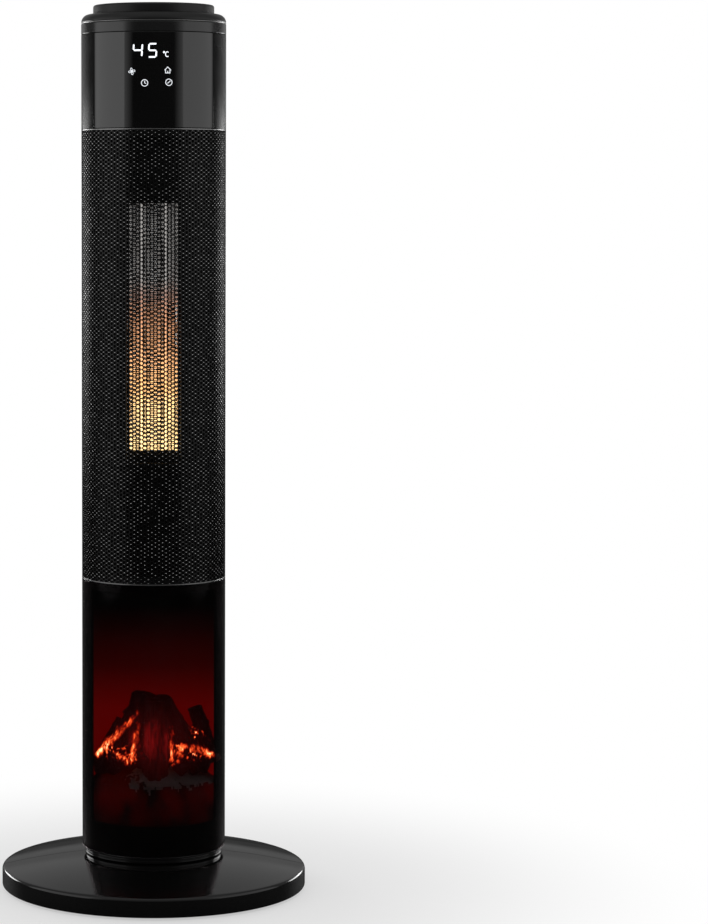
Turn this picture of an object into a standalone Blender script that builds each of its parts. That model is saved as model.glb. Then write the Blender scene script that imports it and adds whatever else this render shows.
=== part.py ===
"""Tower heater with a log-fire window: a round column that swings on a split round base.

Lengths are in metres and angles in degrees. The column's axis is Z, the floor is z = 0 and the front
faces -Y. Angles round the column are counted from the front, positive towards +X.
"""

import math

import bmesh
import bpy
import numpy as np
from mathutils import Matrix, Vector

# Fits
GAP = 0.0003
OVERRUN = 0.002
RUNNING_GAP = 0.001

# The column's plan: every shell follows one polygon, so neighbouring facets stay parallel
COLUMN_RADIUS = 0.080
COLUMN_WALL = 0.0025
FRAME_WALL = 0.0025
GRILLE_WALL = 0.0015
COLUMN_FACETS = 32
BASE_FACETS = 48
ROUND_SIDES = 16
SMALL_SIDES = 8
SHOULDER_STEPS = 4
SHARP_TURN = 31.0
FLAT_TURN = 0.05
MERGE_DISTANCE = 0.000001

# The column's height, from the floor up
FOOT_HEIGHT = 0.0025
DOME_MOUTH_HEIGHT = 0.040
NECK_HEIGHT = 0.008
WINDOW_HEIGHT = 0.301
FRONT_GRILLE_HEIGHT = 0.498
PANEL_HEIGHT = 0.104
HEAD_RING_HEIGHT = 0.012
SHOULDER_HEIGHT = 0.010
CAP_HEIGHT = 0.010

# Base
BASE_RADIUS = 0.170
BASE_WALL = 0.003
BASE_RIM_HEIGHT = 0.0185
BASE_EDGE_ROUND = 0.0025
BASE_DOME_DROP = 0.016
BASE_FLOOR_MOUTH = 0.040
NECK_RADIUS = 0.077
NECK_WALL = 0.007
NECK_CLEARANCE = 0.0005
FOOT_RADIUS = 0.011
FOOT_CIRCLE = 0.140

# Pedestal and swing drive
PEDESTAL_RADIUS = 0.068
PEDESTAL_WALL = 0.004
PEDESTAL_FLANGE = 0.012
PEDESTAL_PLATE = 0.003
HUB_RADIUS = 0.022
HUB_STEP = 0.004
HUB_BORE = 0.010
HUB_RISE = 0.003
GLIDE_INNER = 0.030
GLIDE_OUTER = 0.055
GLIDE_HEIGHT = 0.0024
FLOOR_PLATE = 0.0037
FLOOR_HOLE_CLEARANCE = 0.0023
FLOOR_LIP_HEIGHT = 0.006
FLOOR_LIP_WALL = 0.003
GEAR_MODULE = 0.00125
RING_GEAR_TEETH = 48
PINION_TEETH = 24
GEAR_WIDTH = 0.006
GEAR_BACKLASH = 0.0004
ADDENDUM_SHARE = 0.85
DEDENDUM_SHARE = 1.1
TOOTH_FOOT_SHARE = 0.58
TOOTH_TIP_SHARE = 0.24
SWING_MOTOR_RADIUS = 0.024
SWING_MOTOR_HEIGHT = 0.015
MOTOR_LEG = 0.006
PINION_HUB_RADIUS = 0.003
SCREW_RADIUS = 0.002
SCREW_HEAD_RADIUS = 0.0042
SCREW_HEAD_HEIGHT = 0.0018
SCREW_LENGTH = 0.010
SCREW_CIRCLE = 0.060
TILT_SWITCH_SIZE = (0.024, 0.014, 0.020)
TILT_SWITCH_PLACE = (-0.040, -0.036)

# Cord outlet in the rear rim
GLAND_SIDE_OFFSET = 0.010
GLAND_WALL = 0.0018
GLAND_BORE = 0.0032
GLAND_FLANGE = 0.0015
GLAND_FLANGE_RISE = 0.0009

# Openings of the shells, as angles and heights
WINDOW_VIEW_ANGLE = 62.0
GRILLE_VIEW_ANGLE = 76.0
GRILLE_COLUMNS = 12
GRILLE_ROWS = 24
GRILLE_BAR = 0.0045
PANEL_ANGLE = 55.0
DISPLAY_VIEW_ANGLE = 24.0
FRAME_LIP_ANGLE = 93.0
FRAME_BAR = 0.010
DISPLAY_VIEW_BAR = 0.014
VENT_ANGLE = 45.0
VENT_BORDER = 0.003
VENT_ROWS = 34
VENT_COLUMNS = 4
VENT_RIB = 0.0033
VENT_BAR = 0.0035
HANDLE_ANGLE = 43.5
HANDLE_HEIGHT = 0.050
HANDLE_RISE = 0.0046
HANDLE_DEPTH = 0.030
HANDLE_WALL = 0.002
HANDLE_RIM = 0.0025
HANDLE_RIM_HEIGHT = 0.001
PLATE_WIDTH = 0.057
PLATE_HEIGHT = 0.046
PLATE_RISE = 0.151
PLATE_THICKNESS = 0.0004
PLATE_RECESS = 0.0006
SHELL_SCREW_ANGLE = 63.3
SHELL_SCREW_HOLE = 0.0035
SHELL_SCREW_HEIGHT_SHARES = (0.187, 0.335, 0.502, 0.668, 0.835, 0.990)
HEAD_SCREW_ANGLE = 49.4
HEAD_WALL = 0.010
CAP_INSET = 0.0132
CAP_EDGE = 0.0015

# Mains switch in the back
SWITCH_RISE = 0.2208
SWITCH_WIDTH = 0.0186
SWITCH_HEIGHT = 0.0370
SWITCH_DEPTH = 0.022
SWITCH_BEZEL = 0.0017
SWITCH_BEZEL_HEIGHT = 0.0017
SWITCH_POCKET_DEPTH = 0.015
ROCKER_WIDTH = 0.0132
ROCKER_HEIGHT = 0.0300
ROCKER_TRAVEL = 20.0
ROCKER_THICKNESS = 0.007
ROCKER_PIVOT_DEPTH = 0.004
ROCKER_CROWN = 0.0034
ROCKER_PIN_RADIUS = 0.0015
ROCKER_PIN_LENGTH = 0.0010
ROCKER_END_CLEARANCE = 0.0014

# Partitions
DECK = 0.0025
TRAY_RISE = 0.030
MIDDLE_DECK_RISE = 0.131
BAY_TOP_DROP = 0.073

# Log fire
BED_OUTER_RISE = 0.046
BED_INNER_RISE = 0.068
BED_INNER_RADIUS = 0.024
BED_SKIN = 0.002
BED_ANGLE = 75.0
LED_BOARD_SIZE = (0.080, 0.012, 0.0016)
LED_BOARD_Y = -0.044
SCREEN_Y = -0.003
SCREEN_THICKNESS = 0.002
SCREEN_MARGIN = 0.004
SPINDLE_Y = 0.012
SPINDLE_RISE = 0.024
SPINDLE_RADIUS = 0.002
SPINDLE_LENGTH = 0.098
VANE_RADIUS = 0.010
VANE_HUB = 0.0035
VANE_COUNT = 6
VANE_SPAN = 0.080
LUG_THICKNESS = 0.003
LUG_WIDTH = 0.010
SPINDLE_MOTOR_RADIUS = 0.012
SPINDLE_MOTOR_LENGTH = 0.017
LOG_RADIUS = 0.0125
LOG_SIDES = 10

# Heater and blower
HEATER_WIDTH = 0.057
HEATER_FRAME_EDGE = 0.0022
HEATER_DEPTH = 0.018
HEATER_FRONT_Y = -0.060
PTC_SPACING = 0.026
PTC_WIDTH = 0.002
FIN_DEPTH = 0.014
FIN_THICKNESS = 0.0014
FIN_FOLDS = 26
CUTOUT_SIZE = (0.012, 0.007, 0.016)
ROTOR_Y = 0.018
ROTOR_RADIUS = 0.030
ROTOR_BLADE_DEPTH = 0.008
ROTOR_BLADE_ANGLE = 3.0
ROTOR_BLADES = 12
ROTOR_DISC = 0.002
SHAFT_RADIUS = 0.004
BEARING_RADIUS = 0.009
BEARING_HEIGHT = 0.006
BLOWER_MOTOR_RADIUS = 0.026
BLOWER_MOTOR_HEIGHT = 0.048
MOTOR_ARM = 0.006
DUCT_WALL = 0.0015
DUCT_HALF_WIDTH = 0.031
TONGUE_REACH = 0.008
SCROLL_START = 0.0325
SCROLL_END = 0.0380
SCROLL_FIRST_ANGLE = 70.0
SCROLL_LAST_ANGLE = 200.0
SCROLL_STEPS = 10

# Electronics
DISPLAY_BOARD_DROP = 0.008
BOARD_THICKNESS = 0.0016
DISPLAY_BOARD_HEIGHT = 0.084
DIGIT_SIZE = (0.034, 0.005, 0.022)
DIGIT_RISE = 0.070
CONTROL_BOARD_SIZE = (0.064, 0.0016, 0.060)
CONTROL_BOARD_Y = -0.010
TRANSFORMER_SIZE = (0.024, 0.018, 0.020)
RELAY_SIZE = (0.012, 0.014, 0.016)

# Heights and radii that follow from the sizes above
FLOOR_Z = 0.0
BASE_FOOT_Z = FLOOR_Z + FOOT_HEIGHT
DOME_MOUTH_Z = FLOOR_Z + DOME_MOUTH_HEIGHT
WINDOW_Z = DOME_MOUTH_Z + NECK_HEIGHT
FRONT_GRILLE_Z = WINDOW_Z + WINDOW_HEIGHT
PANEL_Z = FRONT_GRILLE_Z + FRONT_GRILLE_HEIGHT
HEAD_Z = PANEL_Z + PANEL_HEIGHT
SHOULDER_Z = HEAD_Z + HEAD_RING_HEIGHT
CAP_Z = SHOULDER_Z + SHOULDER_HEIGHT
TOP_Z = CAP_Z + CAP_HEIGHT
CAP_RADIUS = COLUMN_RADIUS - CAP_INSET
SHELL_INNER = COLUMN_RADIUS - COLUMN_WALL
FRAME_OUTER = SHELL_INNER - GAP
FRAME_INNER = FRAME_OUTER - FRAME_WALL
FACET_ANGLE = 360.0 / COLUMN_FACETS
FACET_FLAT_SHARE = math.cos(math.radians(FACET_ANGLE / 2))
CLEAR_RADIUS = FRAME_INNER * FACET_FLAT_SHARE - GAP
DISPLAY_BOARD_Y = DISPLAY_BOARD_DROP - CLEAR_RADIUS
SEAM_ANGLE = math.degrees(GAP / (2 * COLUMN_RADIUS * FACET_FLAT_SHARE)) * 1.1
PEDESTAL_TOP_Z = DOME_MOUTH_Z + RUNNING_GAP
GLIDE_Z = PEDESTAL_TOP_Z + GAP
FLOOR_PLATE_Z = GLIDE_Z + GLIDE_HEIGHT + GAP
FLOOR_TOP_Z = FLOOR_PLATE_Z + FLOOR_PLATE
SHELL_Z = FLOOR_TOP_Z + GAP
HUB_STEP_Z = FLOOR_TOP_Z + RUNNING_GAP
RING_GEAR_Z = HUB_STEP_Z + GAP
RING_GEAR_TOP_Z = RING_GEAR_Z + GEAR_WIDTH
HUB_TOP_Z = RING_GEAR_TOP_Z + HUB_RISE
SWING_MOTOR_Z = HUB_TOP_Z + RUNNING_GAP
RING_PITCH = GEAR_MODULE * RING_GEAR_TEETH / 2
PINION_PITCH = GEAR_MODULE * PINION_TEETH / 2
PINION_Y = RING_PITCH + PINION_PITCH + GEAR_BACKLASH
TRAY_Z = WINDOW_Z + TRAY_RISE
TRAY_TOP_Z = TRAY_Z + DECK
MIDDLE_DECK_Z = FRONT_GRILLE_Z + MIDDLE_DECK_RISE
BAY_Z = MIDDLE_DECK_Z + DECK
UPPER_DECK_Z = PANEL_Z - BAY_TOP_DROP
UPPER_DECK_TOP_Z = UPPER_DECK_Z + DECK
HANDLE_Z = PANEL_Z + HANDLE_RISE
HANDLE_TOP_Z = HANDLE_Z + HANDLE_HEIGHT
SWITCH_Z = WINDOW_Z + SWITCH_RISE
PLATE_Z = WINDOW_Z + PLATE_RISE
SPINDLE_Z = TRAY_TOP_Z + SPINDLE_RISE
ROCKER_Y = COLUMN_RADIUS - ROCKER_PIVOT_DEPTH
GLAND_RADIUS = GLAND_BORE + GLAND_WALL
GLAND_FLANGE_RADIUS = GLAND_RADIUS + GLAND_FLANGE_RISE
GLAND_HEIGHT = BASE_FOOT_Z + BASE_WALL + GLAND_FLANGE_RADIUS + 2 * GAP
HEATER_Z = BAY_Z + GAP
HEATER_TOP_Z = UPPER_DECK_Z - GAP
HEATER_BACK_Y = HEATER_FRONT_Y + HEATER_DEPTH
BAY_MIDDLE_Z = (BAY_Z + UPPER_DECK_Z) / 2


# Materials

def material(name, colour, roughness, metallic=0.0):
    """A plain surface: colour as red, green and blue from 0 to 1."""
    made = bpy.data.materials.new(name)
    made.use_nodes = True
    shader = made.node_tree.nodes["Principled BSDF"]
    shader.inputs["Base Color"].default_value = (*colour, 1.0)
    shader.inputs["Roughness"].default_value = roughness
    shader.inputs["Metallic"].default_value = metallic
    return made


LOOKS = {
    "gloss_black": ((0.010, 0.010, 0.011), 0.12, 0.0),
    "satin_black": ((0.022, 0.022, 0.023), 0.38, 0.0),
    "matt_black": ((0.012, 0.012, 0.012), 0.60, 0.0),
    "panel_glass": ((0.006, 0.006, 0.007), 0.05, 0.0),
    "window_smoke": ((0.020, 0.018, 0.018), 0.06, 0.0),
    "grille_metal": ((0.080, 0.080, 0.082), 0.40, 0.6),
    "steel": ((0.420, 0.420, 0.430), 0.35, 1.0),
    "aluminium": ((0.620, 0.610, 0.590), 0.40, 1.0),
    "brass": ((0.600, 0.430, 0.180), 0.30, 1.0),
    "ptc_ceramic": ((0.300, 0.290, 0.280), 0.60, 0.0),
    "nylon": ((0.700, 0.680, 0.620), 0.45, 0.0),
    "rubber": ((0.020, 0.020, 0.020), 0.80, 0.0),
    "board_green": ((0.030, 0.120, 0.050), 0.50, 0.0),
    "red_rocker": ((0.600, 0.020, 0.015), 0.25, 0.0),
    "silver_label": ((0.520, 0.520, 0.530), 0.35, 0.5),
    "charred_wood": ((0.090, 0.030, 0.018), 0.80, 0.0),
    "ember_glow": ((0.450, 0.080, 0.020), 0.60, 0.0),
    "screen_red": ((0.160, 0.010, 0.008), 0.50, 0.0),
    "display_white": ((0.800, 0.850, 0.860), 0.40, 0.0),
}


# Objects

def add_part(name, mesh, look, parent, place=(0, 0, 0), turn=(0, 0, 0)):
    """Puts a mesh in the scene as the sub-part of this name, with its own material."""
    mesh.name = name
    mesh.materials.clear()
    mesh.materials.append(material(name, *LOOKS[look]))
    mesh.shade_smooth()
    mesh.set_sharp_from_angle(angle=math.radians(SHARP_TURN))
    part = bpy.data.objects.new(name, mesh)
    bpy.context.scene.collection.objects.link(part)
    part.parent = parent
    part.location = place
    part.rotation_euler = turn
    return part


def axis_empty(name, place, parent=None):
    """An empty on a joint's axis, which carries the pieces that turn there."""
    empty = bpy.data.objects.new(name, None)
    bpy.context.scene.collection.objects.link(empty)
    empty.parent = parent
    empty.location = place
    return empty


# Shapes: each function returns a closed mesh

def closed_mesh(points, faces, joins_flat=True):
    """The mesh of these faces, pointing out. Neighbours that lie flat are joined unless told not to."""
    mesh = bpy.data.meshes.new("shape")
    mesh.from_pydata([tuple(point) for point in points], [], faces)
    work = bmesh.new()
    work.from_mesh(mesh)
    bmesh.ops.remove_doubles(work, verts=work.verts, dist=MERGE_DISTANCE)
    bmesh.ops.recalc_face_normals(work, faces=work.faces)
    if joins_flat:
        turn = math.radians(FLAT_TURN)
        bmesh.ops.dissolve_limit(work, angle_limit=turn, verts=work.verts, edges=work.edges)
    work.to_mesh(mesh)
    work.free()
    return mesh


def lattice(firsts, seconds, thirds, is_solid, place, closes=False):
    """One body from the filled cells of a grid.

    The three lists hold the grid's planes, is_solid(i, j, k) says which cells are filled and
    place(a, b, c) turns a grid point into a point in space. When the grid closes, its second
    list runs once round, and its last plane is its first one again.
    """
    size = (len(firsts) - 1, len(seconds) - 1, len(thirds) - 1)
    solid = {
        (i, j, k)
        for i in range(size[0])
        for j in range(size[1])
        for k in range(size[2])
        if is_solid(i, j, k)
    }
    numbers, points, faces = {}, [], []

    def corner(i, j, k):
        j = j % size[1] if closes else j
        if (i, j, k) not in numbers:
            numbers[i, j, k] = len(points)
            points.append(place(firsts[i], seconds[j], thirds[k]))
        return numbers[i, j, k]

    for cell in sorted(solid):
        for axis in range(3):
            for side in (0, 1):
                beside = list(cell)
                beside[axis] += 2 * side - 1
                if closes:
                    beside[1] %= size[1]
                if tuple(beside) in solid:
                    continue
                others = [other for other in range(3) if other != axis]
                ring = []
                for one, two in ((0, 0), (1, 0), (1, 1), (0, 1)):
                    at = list(cell)
                    at[axis] += side
                    at[others[0]] += one
                    at[others[1]] += two
                    ring.append(corner(*at))
                faces.append(ring)
    return closed_mesh(points, faces)


def column_point(radius, angle, height):
    """A point on the column's polygon, with its angle from the front and positive towards +X."""
    beyond = (angle + FACET_ANGLE / 2) % FACET_ANGLE - FACET_ANGLE / 2
    if beyond < 0:
        beyond += FACET_ANGLE
    from_middle = math.radians(beyond - FACET_ANGLE / 2)
    reach = radius * FACET_FLAT_SHARE / math.cos(from_middle)
    turn = math.radians(angle)
    return Vector((reach * math.sin(turn), -reach * math.cos(turn), height))


def grid_angles(*edges):
    """These angles with the polygon's own corners between the first and the last of them."""
    low, high = min(edges), max(edges)
    corners = np.arange(math.ceil(low / FACET_ANGLE), math.floor(high / FACET_ANGLE) + 1)
    both = sorted({round(float(corner) * FACET_ANGLE, 6) for corner in corners} | set(edges))
    kept = [both[0]]
    for angle in both[1:]:
        if angle - kept[-1] > FLAT_TURN:
            kept.append(angle)
    return kept


def middle(values, index):
    return (values[index] + values[index + 1]) / 2


def column_sheet(radii, edges, heights, is_solid):
    """A curved sheet of the column. is_solid gets the middle of each cell: radius, angle, height."""
    angles = grid_angles(*edges)
    heights = sorted(set(heights))
    return lattice(
        radii,
        angles,
        heights,
        lambda i, j, k: is_solid(middle(radii, i), middle(angles, j), middle(heights, k)),
        column_point,
    )


def whole(radius, angle, height):
    """Fills every cell of a sheet."""
    return True


def box(low, high):
    """A box between two corners."""
    spans = list(zip(low, high))
    return lattice(*spans, lambda i, j, k: True, lambda x, y, z: Vector((x, y, z)))


def centred_box(size, foot):
    """A box of this size whose foot's centre is given."""
    half = (size[0] / 2, size[1] / 2)
    low = (foot[0] - half[0], foot[1] - half[1], foot[2])
    high = (foot[0] + half[0], foot[1] + half[1], foot[2] + size[2])
    return box(low, high)


def prism(outline, low, high):
    """An upright prism over a plan outline."""
    count = len(outline)
    points = [(x, y, low) for x, y in outline] + [(x, y, high) for x, y in outline]
    faces = [list(range(count))[::-1], list(range(count, 2 * count))]
    for i in range(count):
        j = (i + 1) % count
        faces.append([i, j, count + j, count + i])
    return closed_mesh(points, faces)


def turned(profile, sides, first=0.0, last=360.0):
    """A profile of (radius, height) points swept round Z, whole or between two angles."""
    whole_turn = last - first >= 360.0
    steps = round(sides * (last - first) / 360.0)
    turns = [math.radians(first + (last - first) * step / steps) for step in range(steps + 1)]
    if whole_turn:
        turns.pop()
    count = len(profile)
    points, faces = [], []
    for turn in turns:
        points += [(r * math.sin(turn), -r * math.cos(turn), z) for r, z in profile]
    for step in range(steps):
        here, there = step * count, (step + 1) % len(turns) * count
        for i in range(count):
            j = (i + 1) % count
            faces.append([here + i, here + j, there + j, there + i])
    if not whole_turn:
        faces.append(list(range(count))[::-1])
        faces.append([steps * count + i for i in range(count)])
    return closed_mesh(points, faces)


def disc(radius, low, high, sides, bore=0.0):
    """A round plate, or a ring when it has a bore."""
    if bore:
        return turned([(bore, low), (radius, low), (radius, high), (bore, high)], sides)
    outline = [
        (radius * math.sin(turn), -radius * math.cos(turn))
        for turn in np.linspace(0, 2 * math.pi, sides, endpoint=False)
    ]
    return prism(outline, low, high)


def moved(mesh, place=(0, 0, 0), turn=0.0, axis="Z"):
    """The mesh turned about an axis and then moved."""
    mesh.transform(Matrix.Translation(Vector(place)) @ Matrix.Rotation(math.radians(turn), 4, axis))
    return mesh


def rod(radius, start, end, sides):
    """A round bar between two points."""
    start, end = Vector(start), Vector(end)
    along = end - start
    bar = disc(radius, 0, along.length, sides)
    bar.transform(Matrix.Translation(start) @ along.to_track_quat("Z", "Y").to_matrix().to_4x4())
    return bar


def combined(first, others, operation):
    """The first mesh after a Boolean with each of the others in turn."""
    body = bpy.data.objects.new("combined", first)
    bpy.context.scene.collection.objects.link(body)
    tools = []
    for number, other in enumerate(others):
        tool = bpy.data.objects.new(f"tool_{number}", other)
        bpy.context.scene.collection.objects.link(tool)
        tool.hide_render = True
        tool.display_type = "WIRE"
        tools.append(tool)
        cut = body.modifiers.new(f"cut_{number}", "BOOLEAN")
        cut.operation = operation
        cut.solver = "EXACT"
        cut.object = tool
    graph = bpy.context.evaluated_depsgraph_get()
    mesh = bpy.data.meshes.new_from_object(body.evaluated_get(graph))
    for made in [body, *tools]:
        bpy.data.objects.remove(made)
    return mesh


def united(first, *others):
    return combined(first, others, "UNION")


def cut(first, *others):
    return combined(first, others, "DIFFERENCE")


def on_circle(radius, angle, height=0.0):
    """A point at this angle from the front, positive towards +X."""
    turn = math.radians(angle)
    return Vector((radius * math.sin(turn), -radius * math.cos(turn), height))


# Base

def dome_height(radius):
    """The height of the base's domed top, a shallow cap, at this distance from the axis."""
    reach = BASE_RADIUS - BASE_EDGE_ROUND
    mouth = PEDESTAL_RADIUS + BASE_WALL
    fall = (radius**2 - mouth**2) / (reach**2 - mouth**2)
    return DOME_MOUTH_Z - BASE_DOME_DROP * fall


def base_profile():
    """The section of the hollow base: floor skin, rim and domed top, open towards the axis."""
    mouth = PEDESTAL_RADIUS + BASE_WALL
    reach = BASE_RADIUS - BASE_EDGE_ROUND
    inner = BASE_RADIUS - BASE_WALL
    outer_dome = [(r, dome_height(r)) for r in np.linspace(reach, mouth, 6)]
    inner_dome = [(r, dome_height(r) - BASE_WALL) for r in np.linspace(mouth, inner - BASE_WALL, 5)]
    rim_top = BASE_FOOT_Z + BASE_RIM_HEIGHT
    return [
        (BASE_FLOOR_MOUTH, BASE_FOOT_Z),
        (reach, BASE_FOOT_Z),
        (BASE_RADIUS, BASE_FOOT_Z + BASE_EDGE_ROUND),
        (BASE_RADIUS, rim_top),
        *outer_dome,
        *inner_dome,
        (inner, dome_height(inner) - BASE_WALL - BASE_EDGE_ROUND),
        (inner, BASE_FOOT_Z + BASE_WALL),
        (BASE_FLOOR_MOUTH, BASE_FOOT_Z + BASE_WALL),
    ]


def screw_angles(first):
    """The two screws of one base half."""
    return (first - 45.0, first + 45.0)


def screw_holes(angles):
    """Cutters for the base screws: a seat for each head and a hole for each shank."""
    head_top = BASE_FOOT_Z + SCREW_HEAD_HEIGHT + GAP
    top = BASE_FOOT_Z + SCREW_HEAD_HEIGHT + SCREW_LENGTH + RUNNING_GAP
    return [
        hole
        for angle in angles
        for hole in (
            rod(
                SCREW_HEAD_RADIUS + GAP,
                on_circle(SCREW_CIRCLE, angle, BASE_FOOT_Z - OVERRUN),
                on_circle(SCREW_CIRCLE, angle, head_top),
                SMALL_SIDES,
            ),
            rod(
                SCREW_RADIUS + GAP,
                on_circle(SCREW_CIRCLE, angle, BASE_FOOT_Z),
                on_circle(SCREW_CIRCLE, angle, top),
                SMALL_SIDES,
            ),
        )
    ]


def make_base(parent):
    """The two halves, which meet along the left-to-right diameter."""
    front = turned(base_profile(), BASE_FACETS, -90.0, 90.0)
    rear = turned(base_profile(), BASE_FACETS, 90.0, 270.0)
    gland_hole = rod(
        GLAND_RADIUS + GAP,
        (-GLAND_SIDE_OFFSET, BASE_RADIUS - 2 * GLAND_RADIUS, GLAND_HEIGHT),
        (-GLAND_SIDE_OFFSET, BASE_RADIUS + OVERRUN, GLAND_HEIGHT),
        ROUND_SIDES,
    )
    front = cut(front, *screw_holes(screw_angles(0.0)))
    rear = cut(rear, gland_hole, *screw_holes(screw_angles(180.0)))
    add_part("base_front_half", front, "gloss_black", parent, (0, -GAP / 2, 0))
    add_part("base_rear_half", rear, "gloss_black", parent, (0, GAP / 2, 0))


def make_feet_and_screws(parent):
    angles = (*screw_angles(0.0), *screw_angles(180.0))
    for number, angle in enumerate(angles, start=1):
        foot = disc(FOOT_RADIUS, 0, FOOT_HEIGHT - GAP, ROUND_SIDES)
        add_part(f"foot_{number}", foot, "rubber", parent, on_circle(FOOT_CIRCLE, angle, FLOOR_Z))
        head = disc(SCREW_HEAD_RADIUS, 0, SCREW_HEAD_HEIGHT, SMALL_SIDES)
        shank = disc(SCREW_RADIUS, SCREW_HEAD_HEIGHT / 2, SCREW_HEAD_HEIGHT + SCREW_LENGTH, SMALL_SIDES)
        seat = on_circle(SCREW_CIRCLE, angle, BASE_FOOT_Z)
        add_part(f"base_screw_{number}", united(head, shank), "steel", parent, seat)


def make_gland(parent):
    """The flanged bush that lines the cord's outlet."""
    flat = math.sqrt(BASE_RADIUS**2 - GLAND_SIDE_OFFSET**2) - BASE_EDGE_ROUND / 2
    inside = BASE_WALL + GLAND_FLANGE + 2 * GAP + BASE_EDGE_ROUND / 2
    profile = [
        (GLAND_BORE, 0),
        (GLAND_RADIUS, 0),
        (GLAND_RADIUS, inside - GLAND_FLANGE),
        (GLAND_FLANGE_RADIUS, inside - GLAND_FLANGE),
        (GLAND_FLANGE_RADIUS, inside),
        (GLAND_BORE, inside),
    ]
    bush = moved(turned(profile, ROUND_SIDES), turn=90.0, axis="X")
    add_part("cord_gland", bush, "rubber", parent, (-GLAND_SIDE_OFFSET, flat, GLAND_HEIGHT))


def make_pedestal(parent):
    """The fixed spigot between the base halves, with the stepped hub that the column turns round."""
    foot = BASE_FOOT_Z + BASE_WALL + GAP
    wall = PEDESTAL_RADIUS - PEDESTAL_WALL
    plate = PEDESTAL_TOP_Z - PEDESTAL_PLATE
    flange = foot + PEDESTAL_FLANGE
    step = HUB_RADIUS - HUB_STEP
    profile = [
        (BASE_FLOOR_MOUTH, foot),
        (PEDESTAL_RADIUS, foot),
        (PEDESTAL_RADIUS, PEDESTAL_TOP_Z),
        (HUB_RADIUS, PEDESTAL_TOP_Z),
        (HUB_RADIUS, HUB_STEP_Z),
        (step, HUB_STEP_Z),
        (step, HUB_TOP_Z),
        (HUB_BORE, HUB_TOP_Z),
        (HUB_BORE, plate),
        (wall, plate),
        (wall, flange),
        (BASE_FLOOR_MOUTH, flange),
    ]
    body = turned(profile, COLUMN_FACETS)
    holes = screw_holes((*screw_angles(0.0), *screw_angles(180.0)))
    add_part("pedestal", cut(body, *holes), "matt_black", parent)
    glide = disc(GLIDE_OUTER, GLIDE_Z, GLIDE_Z + GLIDE_HEIGHT, COLUMN_FACETS, GLIDE_INNER)
    add_part("glide_ring", glide, "nylon", parent)


def gear_outline(teeth, first_turn):
    """A gear's outline with straight-flanked teeth. The first tooth points along first_turn, in degrees."""
    pitch = GEAR_MODULE * teeth / 2
    root = pitch - GEAR_MODULE * DEDENDUM_SHARE
    tip = pitch + GEAR_MODULE * ADDENDUM_SHARE
    step = 2 * math.pi / teeth
    outline = []
    for tooth in range(teeth):
        centre = math.radians(first_turn) + tooth * step
        for radius, offset in (
            (root, -TOOTH_FOOT_SHARE / 2),
            (tip, -TOOTH_TIP_SHARE / 2),
            (tip, TOOTH_TIP_SHARE / 2),
            (root, TOOTH_FOOT_SHARE / 2),
        ):
            turn = centre + offset * step
            outline.append((radius * math.cos(turn), radius * math.sin(turn)))
    return outline


def make_swing_gears(base, pinion_axis):
    """The fixed ring gear on the hub, and the pinion that rolls round it."""
    tooth_step = 360.0 / RING_GEAR_TEETH
    ring = prism(gear_outline(RING_GEAR_TEETH, 90.0 + tooth_step / 2), RING_GEAR_Z, RING_GEAR_TOP_Z)
    bore = disc(HUB_RADIUS - HUB_STEP + GAP, RING_GEAR_Z - OVERRUN, RING_GEAR_TOP_Z + OVERRUN, COLUMN_FACETS)
    add_part("ring_gear", cut(ring, bore), "nylon", base)
    height = RING_GEAR_TOP_Z - RING_GEAR_Z - RUNNING_GAP
    wheel = prism(gear_outline(PINION_TEETH, 270.0), 0, height)
    shaft_top = SWING_MOTOR_Z - GAP - RING_GEAR_Z - RUNNING_GAP / 2
    shaft = disc(PINION_HUB_RADIUS, height / 2, shaft_top, ROUND_SIDES)
    add_part("swing_pinion", united(wheel, shaft), "nylon", pinion_axis)


# Column shells

def make_column_floor(parent):
    """The column's floor plate with the neck skirt below it and the lip that centres the shells."""
    hole = HUB_RADIUS + FLOOR_HOLE_CLEARANCE
    lip = CLEAR_RADIUS
    skirt = NECK_RADIUS - NECK_WALL
    skirt_z = DOME_MOUTH_Z + NECK_CLEARANCE
    lip_z = FLOOR_TOP_Z + FLOOR_LIP_HEIGHT
    profile = [
        (hole, FLOOR_PLATE_Z),
        (skirt, FLOOR_PLATE_Z),
        (skirt, skirt_z),
        (NECK_RADIUS, skirt_z),
        (NECK_RADIUS, FLOOR_TOP_Z),
        (lip, FLOOR_TOP_Z),
        (lip, lip_z),
        (lip - FLOOR_LIP_WALL, lip_z),
        (lip - FLOOR_LIP_WALL, FLOOR_TOP_Z),
        (hole, FLOOR_TOP_Z),
    ]
    add_part("column_floor", turned(profile, COLUMN_FACETS), "satin_black", parent)


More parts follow.
